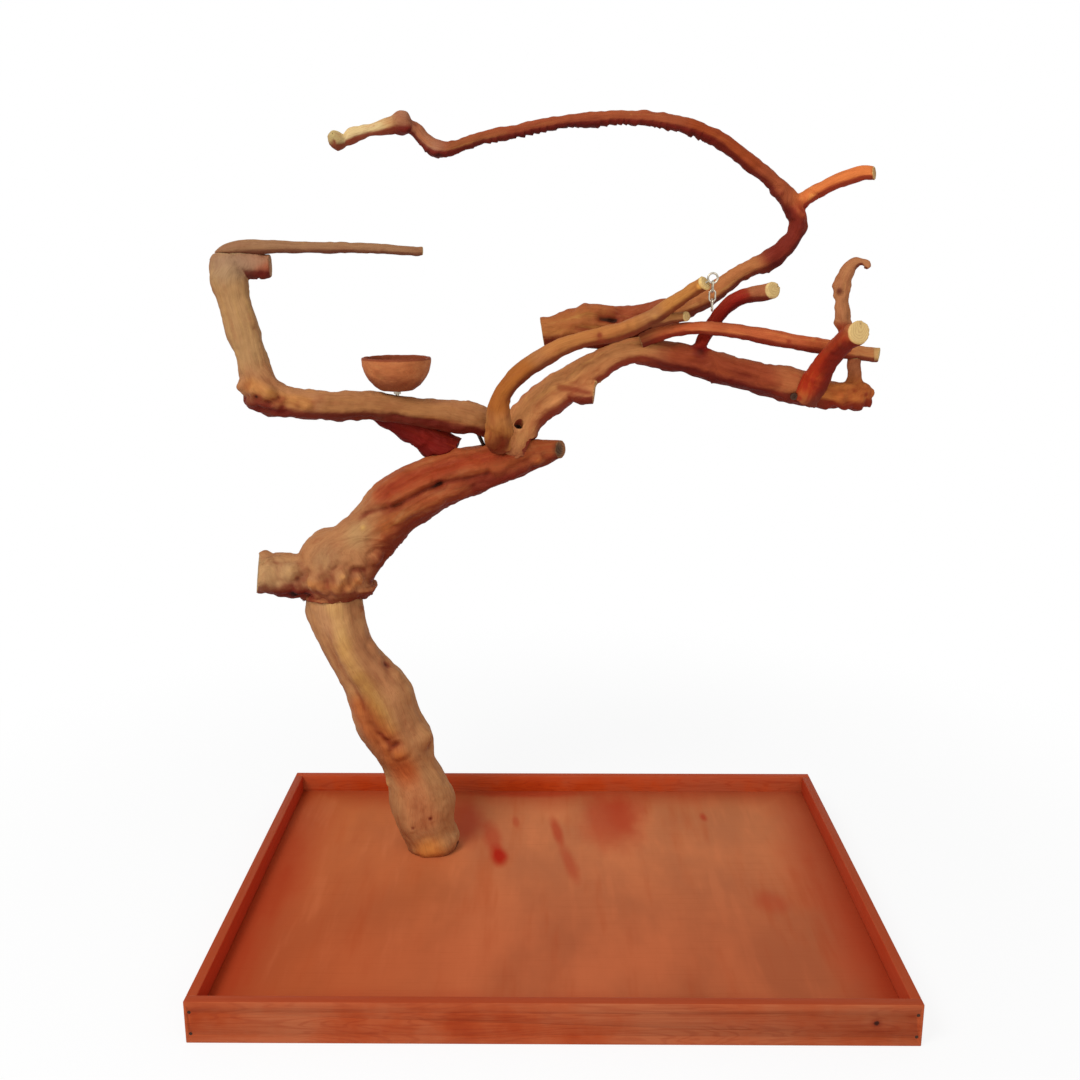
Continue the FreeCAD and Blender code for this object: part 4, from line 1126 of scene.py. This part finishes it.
class PieceOperator:
    """What the operators share: each can be undone."""

    bl_options = {"REGISTER", "UNDO"}


class STAND_OT_trunk(PieceOperator, bpy.types.Operator):
    """Carve the lower trunk, with its yellow streak and its knots"""

    bl_idname = "stand.trunk"
    bl_label = "Lower trunk"

    def execute(self, context):
        wood = settings("wood")
        tan = branch_wood("trunk_tan", wood.trunk, wood.streak, 1.0, 0.45, 0.5)
        butt = (-170, 104, 27)
        carve(
            "lower_trunk", "trunk_wood", "stand", butt, tan, tint_trunk,
            buds=14, calmer=0.55,
        )
        return {"FINISHED"}


class STAND_OT_main_limb(PieceOperator, bpy.types.Operator):
    """Carve the burl and the cleft main limb"""

    bl_idname = "stand.main_limb"
    bl_label = "Main limb"

    def execute(self, context):
        wood = settings("wood")
        red_tan = branch_wood("limb_red_tan", wood.burl, wood.limb, 2.0, 0.75, 0.6)
        butt = (-296, 98, 404)
        carve(
            "main_limb", "limb_wood", "stand", butt, red_tan, tint_limb,
            step=0.9, buds=12, calmer=0.8,
        )
        return {"FINISHED"}


class STAND_OT_left_arm(PieceOperator, bpy.types.Operator):
    """Carve the left arm, its brace and its thin perch"""

    bl_idname = "stand.left_arm"
    bl_label = "Left arm, brace and perch"

    def execute(self, context):
        wood = settings("wood")
        tan = branch_wood("arm_tan", wood.arm, shade(wood.burl, 0.9), 3.0, 0.9, 0.6)
        # Painted shadow: the brace lies in the left arm's shade, so it takes the heartwood red dimmed.
        brace = branch_wood("brace_red", shade(wood.red, 0.5), shade(wood.red, 0.8), 4.0, 0.8)
        perch = branch_wood("perch_tan", shade(wood.arm, 0.92), wood.arm, 5.0, 0.55, 0.6)
        carve("left_arm", "arm_wood", "stand", (-67, 106, 612), tan)
        carve("arm_brace", "brace_wood", "stand", (-129, 114, 596), brace)
        butt = (-423, 94, 848)
        carve("left_perch", "perch_wood", "stand", butt, perch, step=0.75, buds=7)
        return {"FINISHED"}


class STAND_OT_right_limb(PieceOperator, bpy.types.Operator):
    """Carve the right limb with its snag, prong and spike"""

    bl_idname = "stand.right_limb"
    bl_label = "Right limb"

    def execute(self, context):
        wood = settings("wood")
        brown = branch_wood("right_brown", wood.right, shade(wood.red, 0.9), 6.0, 0.9, 0.7)
        butt = (-57, 110, 584)
        carve("right_limb", "right_wood", "stand", butt, brown, tint_right, buds=20)
        return {"FINISHED"}


class STAND_OT_climber(PieceOperator, bpy.types.Operator):
    """Carve the climbing branch that ends at the screw eye"""

    bl_idname = "stand.climber"
    bl_label = "Climbing branch"

    def execute(self, context):
        wood = settings("wood")
        orange = branch_wood("climber_orange", wood.climber, wood.right, 7.0, 0.75, 0.6)
        butt = (-64, 92, 610)
        carve(
            "climbing_branch", "climber_wood", "stand", butt, orange,
            step=0.85, buds=12, calmer=0.8,
        )
        return {"FINISHED"}


class STAND_OT_arch(PieceOperator, bpy.types.Operator):
    """Carve the arch, with scaly bark left below its thin end"""

    bl_idname = "stand.arch"
    bl_label = "Arch"

    def execute(self, context):
        wood = settings("wood")
        red = branch_wood("arch_red", wood.arch, wood.arch_tip, 8.0, 0.9, 0.8)
        scaly = [(-139, 74, 972), (-92, 80, 987), (2, 96, 1007), (99, 110, 1015), (185, 122, 1001)]
        butt = (-14, 132, 752)
        carve(
            "arch_branch", "arch_wood", "stand", butt, red, tint_arch,
            step=0.95, flakes=scaly, buds=36,
        )
        return {"FINISHED"}


class STAND_OT_cross_perch(PieceOperator, bpy.types.Operator):
    """Carve the cross perch"""

    bl_idname = "stand.cross_perch"
    bl_label = "Cross perch"

    def execute(self, context):
        wood = settings("wood")
        brown = branch_wood("cross_brown", shade(wood.arch, 0.95), wood.burl, 9.0, 0.85, 0.8)
        butt = (113, 102, 742)
        carve(
            "cross_perch", "cross_wood", "stand", butt, brown, tint_cross,
            step=0.8, buds=10,
        )
        return {"FINISHED"}


class STAND_OT_end_stub(PieceOperator, bpy.types.Operator):
    """Carve the red stub with its cream sawn face and hooked twig"""

    bl_idname = "stand.end_stub"
    bl_label = "End stub and twig"

    def execute(self, context):
        wood = settings("wood")
        stub = branch_wood("stub_red", wood.right, wood.red, 10.0, 0.8, 0.7)
        butt = (320, 84, 671)
        carve("end_stub", "stub_wood", "stand", butt, stub, tint_stub, step=0.85)
        return {"FINISHED"}


FLAT_ANGLE = math.radians(1)  # faces that meet at less are one face
SMOOTH_ANGLE = math.radians(40)  # edges that turn by less are shaded smooth
SHARP_ANGLE = 1.2  # edges that turn by more, and are longer than this, are sanded round
SHORTEST_EDGE = 0.009
WORN_WIDTH = 0.0012
WORN_SHARE = 0.2
RAIL_OFFSET = 0.2  # the rails' middles are further out than this


def board_wear_and_inside_shade(mesh):
    """Where a board is worn along its edges, and how much painted shade falls on the faces that look into
    the tray.
    """
    points = read(mesh.vertices, "co", 3)
    normals = read(mesh.vertex_normals, "vector", 3)
    low, high = points.min(0), points.max(0)
    inset = np.minimum(points - low, high - points)
    on_edges = ((inset < WORN_WIDTH).sum(1) >= 2) & (inset.min(1) < WORN_WIDTH)
    middle = (low + high) / 2 * (1, 1, 0)
    inward = -middle if np.hypot(*middle[:2]) > RAIL_OFFSET else np.zeros(3)
    inward /= max(np.linalg.norm(inward), 1.0e-3)
    # Painted shade: deepest on the left rail, which looks away from the window light, less on the right
    # rail, least on the front and back.
    bright = 1.0 if middle[0] < -RAIL_OFFSET else 0.7 if middle[0] > RAIL_OFFSET else 0.3
    keep(mesh, worn=np.where(on_edges, WORN_SHARE, 0.0), inside=eased(normals @ inward, 0.5, 0.9) * bright)


def sanded_board(node, name, material):
    """A board of the tray with its long edges sanded round."""
    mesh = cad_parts[node].data.copy()
    edge = settings("tray").edge
    with opened(mesh) as board:
        bmesh.ops.remove_doubles(board, verts=board.verts, dist=WELD)
        bmesh.ops.dissolve_limit(
            board, angle_limit=FLAT_ANGLE, verts=board.verts, edges=board.edges, delimit={"NORMAL"}
        )
        inner = [e for e in board.edges if len(e.link_faces) == 2 and e.calc_face_angle() > SHARP_ANGLE]
        sharp = [e for e in inner if e.calc_length() > SHORTEST_EDGE]
        bmesh.ops.bevel(
            board, geom=sharp, offset=edge, segments=3, profile=0.5, affect="EDGES", material=-1
        )
        bmesh.ops.triangulate(board, faces=[f for f in board.faces if len(f.verts) > 4])
    piece = placed(name, mesh)
    board_wear_and_inside_shade(mesh)
    mesh.shade_smooth()
    mesh.set_sharp_from_angle(angle=SMOOTH_ANGLE)
    paint(piece, material)
    hide_cad(piece, node, "stand")


def floor_stain(name):
    """The floor's plywood: stain brushed front to back, soaked-in blotches and a few drips."""
    tray = settings("tray")
    recipe = Recipe(name)
    place = recipe.place()
    fine = recipe.noise(place, (9, 330, 330), detail=3.0, roughness=0.6)
    broad = recipe.noise(place, (9, 4.5, 5), (2.3, 0.4, 0), detail=4.0, roughness=0.55)
    strokes = recipe.noise(place, (30, 4, 5), (0.4, 1.7, 0), detail=3.0, roughness=0.6)
    right = recipe.part(place, "X")
    back = recipe.part(place, "Y")
    body = recipe.mix(recipe.fade(broad, 0.32, 0.7), shade(tray.floor, 0.92), shade(tray.floor, 1.22))
    body = recipe.coat(body, right, 0.02, -0.36, 0.5, tray.floor_left)
    body = recipe.coat(body, strokes, 0.5, 0.75, 0.4, tray.rail)
    body = recipe.coat(body, strokes, 0.46, 0.28, 0.3, shade(tray.floor, 1.35))
    body = recipe.coat(body, fine, 0.5, 0.8, 0.16, shade(tray.rail, 0.7))
    levels = ((0.94, 1.2), (0.88, 1.42), (0.84, 1.36))  # red, green and blue: in front, at the back
    channels = {axis: recipe.fade(back, -0.2, 0.2, *pair) for axis, pair in enumerate(levels)}
    light = recipe.add("ShaderNodeCombineXYZ", channels)
    body = recipe.mix(1.0, body, light, "MULTIPLY")
    sides = recipe.math("MULTIPLY_ADD", broad, 0.12, recipe.math("ABSOLUTE", right))
    far = recipe.math("MULTIPLY_ADD", broad, 0.12, back)
    near = recipe.math("MULTIPLY_ADD", broad, 0.08, recipe.math("MULTIPLY", back, -1.0))
    at_sides = recipe.fade(sides, 0.36, 0.46, 0.0, 0.7)
    edge = recipe.math("MAXIMUM", at_sides, recipe.fade(far, 0.26, 0.34, 0.0, 0.5))
    edge = recipe.math("MAXIMUM", edge, recipe.fade(near, 0.27, 0.32, 0.0, 0.35))
    body = recipe.mix(edge, body, tray.rim)
    ragged = recipe.noise(place, (38, 16, 10), detail=3.0)
    # Blotches: middle, half-widths, turn, and how much of the stain shows.
    stains = [
        ((-0.076, 0.078), (0.014, 0.034), 0.12, 1.0),
        ((-0.087, 0.130), (0.016, 0.058), 0.20, 0.5),
        ((-0.054, 0.176), (0.006, 0.020), 0.10, 0.4),
        ((0.007, 0.150), (0.009, 0.050), 0.14, 0.6),
        ((0.024, 0.055), (0.011, 0.066), 0.20, 0.42),
        ((0.088, 0.185), (0.054, 0.100), 0.0, 0.55),
        ((0.108, 0.205), (0.032, 0.062), 0.0, 0.35),
        ((-0.128, 0.185), (0.032, 0.085), 0.10, 0.6),
        ((-0.040, 0.272), (0.110, 0.016), 0.0, 0.45),
        ((0.228, 0.193), (0.007, 0.017), 0.05, 0.65),
        ((0.287, -0.044), (0.026, 0.030), 0.0, 0.3),
    ]
    for (x, y), (wide, deep), turn, share in stains:
        values = {"Vector": place, "Location": (x, y, 0), "Rotation": (0, 0, turn)}
        values |= {"Scale": (wide, deep, 1000.0)}
        local = recipe.add("ShaderNodeMapping", values, vector_type="TEXTURE")
        gap = recipe.measure("LENGTH", local)
        torn = recipe.math("MULTIPLY_ADD", ragged, 0.7, recipe.math("SUBTRACT", gap, 0.35))
        body = recipe.coat(body, torn, 1.25, 0.3, share, tray.floor_dark)
    raw = recipe.mix(recipe.fade(fine, 0.4, 0.75), tray.pine, shade(tray.pine, 0.72))
    body = recipe.mix(recipe.fade(recipe.facing("Z"), -0.5, -0.8), body, raw)
    rough = recipe.fade(broad, 0.3, 0.7, 0.55, 0.7)
    normal = recipe.bump(fine, 0.0003, 0.3)
    return recipe.finish(base=body, roughness=rough, normal=normal, specular=0.05)


def raw_pine(name, run, seed):
    """Bare pine for what is under the tray."""
    tray = settings("tray")
    recipe = Recipe(name)
    place = recipe.place()
    stretch = stretched(run, 190.0, 6.0)
    grain = recipe.noise(place, stretch, (seed, 0, 0), detail=4.0, twist=0.7)
    figure = recipe.noise(place, shade(stretch, 0.16), (0, seed, 0), twist=1.2)
    rings = recipe.math("SINE", recipe.math("MULTIPLY", figure, 85.0))
    body = recipe.coat(tray.pine, rings, 0.0, 1.0, 0.5, shade(tray.pine, 0.62))
    body = recipe.coat(body, grain, 0.5, 0.8, 0.6, shade(tray.pine, 0.5))
    knots = recipe.add("ShaderNodeTexVoronoi", {"Vector": recipe.scaled(place, shade(stretch, 0.055))})
    body = recipe.coat(body, knots, 0.14, 0.05, 0.8, shade(tray.rail, 0.6))
    normal = recipe.bump(grain, 0.0004, 0.4)
    rough = recipe.fade(grain, 0.3, 0.8, 0.6, 0.8)
    return recipe.finish(base=body, roughness=rough, normal=normal, specular=0.3)


class STAND_OT_tray(PieceOperator, bpy.types.Operator):
    """Sand and stain the tray's rails and floor"""

    bl_idname = "stand.tray"
    bl_label = "Tray"

    def execute(self, context):
        tray = settings("tray")
        worn = shade(tray.floor, 1.3)
        front_knot = [((0.355, -0.292, 0.029), 0.0038)]
        back_knot = [((-0.140, 0.292, 0.034), 0.0042)]
        front = stained_board("front_rail_stain", 0, tray.rail, tray.rail_dark, 0.0, worn, front_knot)
        # Painted light: the back rail takes the brighter copy of the rail stain.
        back = stained_board("back_rail_stain", 0, tray.back, tray.rail_dark, 6.0, worn, back_knot)
        deep = stained_board("side_rail_stain", 1, tray.rail, tray.rail_dark, 3.0, worn)
        sanded_board("front_rail", "front_board", front)
        sanded_board("back_rail", "back_board", back)
        sanded_board("left_rail", "left_board", deep)
        sanded_board("right_rail", "right_board", deep)
        sanded_board("floor_panel", "floor_board", floor_stain("floor_stain"))
        return {"FINISHED"}


class STAND_OT_underside(PieceOperator, bpy.types.Operator):
    """Plane the battens and the pad under the tray"""

    bl_idname = "stand.underside"
    bl_label = "Battens and pad"

    def execute(self, context):
        deep = raw_pine("pine_deep", 1, 0.0)
        across = raw_pine("pine_across", 0, 5.0)
        for side in ("left", "middle", "right"):
            sanded_board(f"{side}_batten", f"{side}_batten_board", deep)
        sanded_board("trunk_pad", "pad_board", across)
        return {"FINISHED"}


BOWL_SKIN = 0.0011


class STAND_OT_bowl(PieceOperator, bpy.types.Operator):
    """Turn the wooden bowl, with its tool rings and dark rim"""

    bl_idname = "stand.bowl"
    bl_label = "Bowl"

    def execute(self, context):
        wood = settings("wood")
        piece = even_skin("bowl", "turned_bowl", BOWL_SKIN)
        mesh = piece.data
        points, normals, _, _ = read_skin(mesh)
        low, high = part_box("bowl")
        off = points - np.array((low + high) / 2)
        radius = np.hypot(off[:, 0], off[:, 1])
        height = ripple(points / 0.022) * 0.0005 + ripple(points / (0.004, 0.03, 0.004)) * 0.00025
        near_rim = eased(points[:, 2], high.z - 0.004, high.z - 0.001)
        height -= np.maximum(ripple(points / 0.007), 0) * 0.0007 * near_rim
        height *= eased(radius, 0.009, 0.016)  # the seat of the bolt stays flat
        points += normals * height[:, None]
        write_points(mesh, points)
        # Painted shade: the inside of the bowl, below its rim, is darkened.
        inward = eased(-(normals[:, :2] * off[:, :2]).sum(1) / np.maximum(radius, 1e-4), 0.1, 0.5)
        under_rim = eased(points[:, 2], high.z - 0.002, high.z - 0.004)
        dip = np.maximum(inward, eased(normals[:, 2], 0.4, 0.8) * under_rim)
        none = np.zeros(len(points))
        # Painted shade: under marks where the bowl looks down, to be painted dark red.
        keep(mesh, grain=off[:, [2, 1, 0]], cut=none, under=eased(-normals[:, 2], 0.1, 0.95))
        keep(mesh, hollow=np.maximum(0.6 * near_rim, 0.5 * dip), fresh=none)
        keep(mesh, wash=np.tile((0.97, 1.15, 1.18), (len(points), 1)), tint=np.full(len(points), 0.5))
        mesh.shade_smooth()
        tones = shade(wood.right, 1.25), shade(wood.limb, 1.35)
        paint(piece, branch_wood("bowl_brown", *tones, 11.0, 0.6, 0.6))
        hide_cad(piece, "bowl", "bowl")
        return {"FINISHED"}


def plated(name, tone, rough):
    """Plated or bright steel with faint handling marks."""
    recipe = Recipe(name)
    place = recipe.place()
    marks = recipe.noise(place, (900, 900, 900), detail=3.0)
    tarnish = recipe.noise(place, (160, 160, 160))
    body = recipe.coat(tone, tarnish, 0.45, 0.7, 0.55, shade(tone, 0.5))
    return recipe.finish(
        base=body,
        metallic=1.0,
        roughness=recipe.fade(marks, 0.3, 0.7, rough, rough + 0.2),
        normal=recipe.bump(marks, 0.0001, 0.2),
    )


class STAND_OT_fittings(PieceOperator, bpy.types.Operator):
    """Finish the screws, nails, bolts, chain and eye in steel"""

    bl_idname = "stand.fittings"
    bl_label = "Steel fittings"

    def execute(self, context):
        metal = settings("metal")
        zinc = plated("zinc_plate", metal.zinc, 0.34)
        bright = plated("bright_steel", metal.stainless, 0.22)
        black = plated("blackened_steel", metal.blackened, 0.42)
        hidden = ("floor_screws", "lag_bolts", "lag_washers", "trunk_stud")
        seen = (
            "screw_eye", "link_top", "link_middle", "link_bottom", "jam_nut", "bowl_rest_washer",
            "captive_washer", "wing_nut", "hanger_bolt",
        )
        # Painted shade: the branch screws are darkened so that their shanks read as shadow.
        finishes = ((black, ("branch_screws", "corner_nails")), (zinc, hidden), (bright, seen))
        for finish, nodes in finishes:
            for node in nodes:
                paint(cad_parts[node], finish)
        for node in ("branch_screws", *seen):
            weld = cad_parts[node].modifiers.new("weld", "WELD")
            weld.merge_threshold = WELD
        return {"FINISHED"}


class STAND_OT_stage(PieceOperator, bpy.types.Operator):
    """Set the camera, the soft lights and the white floor"""

    bl_idname = "stand.stage"
    bl_label = "Stage"

    def execute(self, context):
        stage = settings("stage")
        scene = context.scene
        camera = placed("camera", bpy.data.cameras.new("camera"))
        camera.location = stage.camera_place
        camera.rotation_euler = stage.camera_turn
        camera.data.sensor_width = 36
        camera.data.lens = stage.lens
        camera.data.clip_start = 0.05
        camera.data.clip_end = 60
        scene.camera = camera

        lamp("window", stage.key, place=(-1.3, -1.5, 2.3), aim=(0, 0, 0.55), size=1.1)
        lamp("front", stage.fill, place=(0.9, -2.2, 1.5), aim=(0, 0, 0.6), size=1.8)

        floor_mesh = bpy.data.meshes.new("ground")
        with opened(floor_mesh) as floor:
            bmesh.ops.create_grid(floor, x_segments=1, y_segments=1, size=12)
        ground = placed("ground", floor_mesh)
        paint(ground, white_ground())

        world = bpy.data.worlds.new("sky")
        world.use_nodes = True
        scene.world = world
        tree = world.node_tree
        back = tree.nodes["Background"]
        path = tree.nodes.new("ShaderNodeLightPath")
        seen = tree.nodes.new("ShaderNodeMath")
        seen.operation = "MAXIMUM"
        tree.links.new(path.outputs["Is Camera Ray"], seen.inputs[0])
        tree.links.new(path.outputs["Is Glossy Ray"], seen.inputs[1])
        strength = tree.nodes.new("ShaderNodeMapRange")
        strength.inputs["To Min"].default_value = stage.sky
        strength.inputs["To Max"].default_value = 1.0
        tree.links.new(seen.outputs[0], strength.inputs["Value"])
        tree.links.new(strength.outputs[0], back.inputs["Strength"])
        back.inputs["Color"].default_value = (1, 1, 1, 1)
        scene.view_settings.view_transform = "Standard"
        return {"FINISHED"}


def lamp(name, power, place, aim, size):
    """A soft square light that looks at its aim."""
    light = bpy.data.lights.new(name, "AREA")
    light.energy = power
    light.size = size
    holder = placed(name, light)
    holder.location = place
    holder.rotation_euler = (Vector(aim) - Vector(place)).to_track_quat("-Z", "Y").to_euler()


def white_ground():
    """A white floor that keeps a soft shadow."""
    recipe = Recipe("white_ground")
    recipe.finish(base=(0.93, 0.93, 0.93), roughness=0.9, specular=0.1)
    glow = recipe.add("ShaderNodeEmission", {"Color": (1, 1, 1, 1), "Strength": 1.0})
    path = recipe.tree.nodes.new("ShaderNodeLightPath")
    seen = recipe.math("MAXIMUM", path.outputs["Is Camera Ray"], path.outputs["Is Glossy Ray"])
    away = recipe.measure("LENGTH", recipe.place())
    share = recipe.math("MULTIPLY", seen, recipe.fade(away, 0.45, 1.3, 0.86, 1.0))
    blend = recipe.tree.nodes.new("ShaderNodeMixShader")
    recipe.tree.links.new(share, blend.inputs[0])
    recipe.tree.links.new(recipe.shader.outputs[0], blend.inputs[1])
    recipe.tree.links.new(glow, blend.inputs[2])
    recipe.tree.links.new(blend.outputs[0], recipe.tree.nodes["Material Output"].inputs["Surface"])
    return recipe.material


# ---------------------------------------------------------------- add-on

OPERATORS = (
    STAND_OT_trunk,
    STAND_OT_main_limb,
    STAND_OT_left_arm,
    STAND_OT_right_limb,
    STAND_OT_climber,
    STAND_OT_arch,
    STAND_OT_cross_perch,
    STAND_OT_end_stub,
    STAND_OT_tray,
    STAND_OT_underside,
    STAND_OT_bowl,
    STAND_OT_fittings,
    STAND_OT_stage,
)
GROUPS = {"wood": WoodSettings, "tray": TraySettings, "metal": MetalSettings, "stage": StageSettings}


class STAND_PT_panel(bpy.types.Panel):
    """Lists the steps that make the stand"""

    bl_idname = "STAND_PT_panel"
    bl_label = "Play stand"
    bl_space_type = "VIEW_3D"
    bl_region_type = "UI"
    bl_category = "Play stand"

    def draw(self, context):
        for operator in OPERATORS:
            self.layout.operator(operator.bl_idname)
        for name, group in GROUPS.items():
            box = self.layout.box()
            box.label(text=group.__doc__)
            for prop in group.__annotations__:
                box.prop(settings(name), prop)


def register():
    for kind in (*GROUPS.values(), *OPERATORS, STAND_PT_panel):
        bpy.utils.register_class(kind)
    for name, group in GROUPS.items():
        setattr(bpy.types.Scene, f"stand_{name}", bpy.props.PointerProperty(type=group))


def unregister():
    for name in GROUPS:
        delattr(bpy.types.Scene, f"stand_{name}")
    for kind in reversed((*GROUPS.values(), *OPERATORS, STAND_PT_panel)):
        bpy.utils.unregister_class(kind)


def main():
    register()
    for operator in OPERATORS:
        group, name = operator.bl_idname.split(".")
        getattr(getattr(bpy.ops, group), name)()
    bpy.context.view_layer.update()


if __name__ == "__main__":
    main()
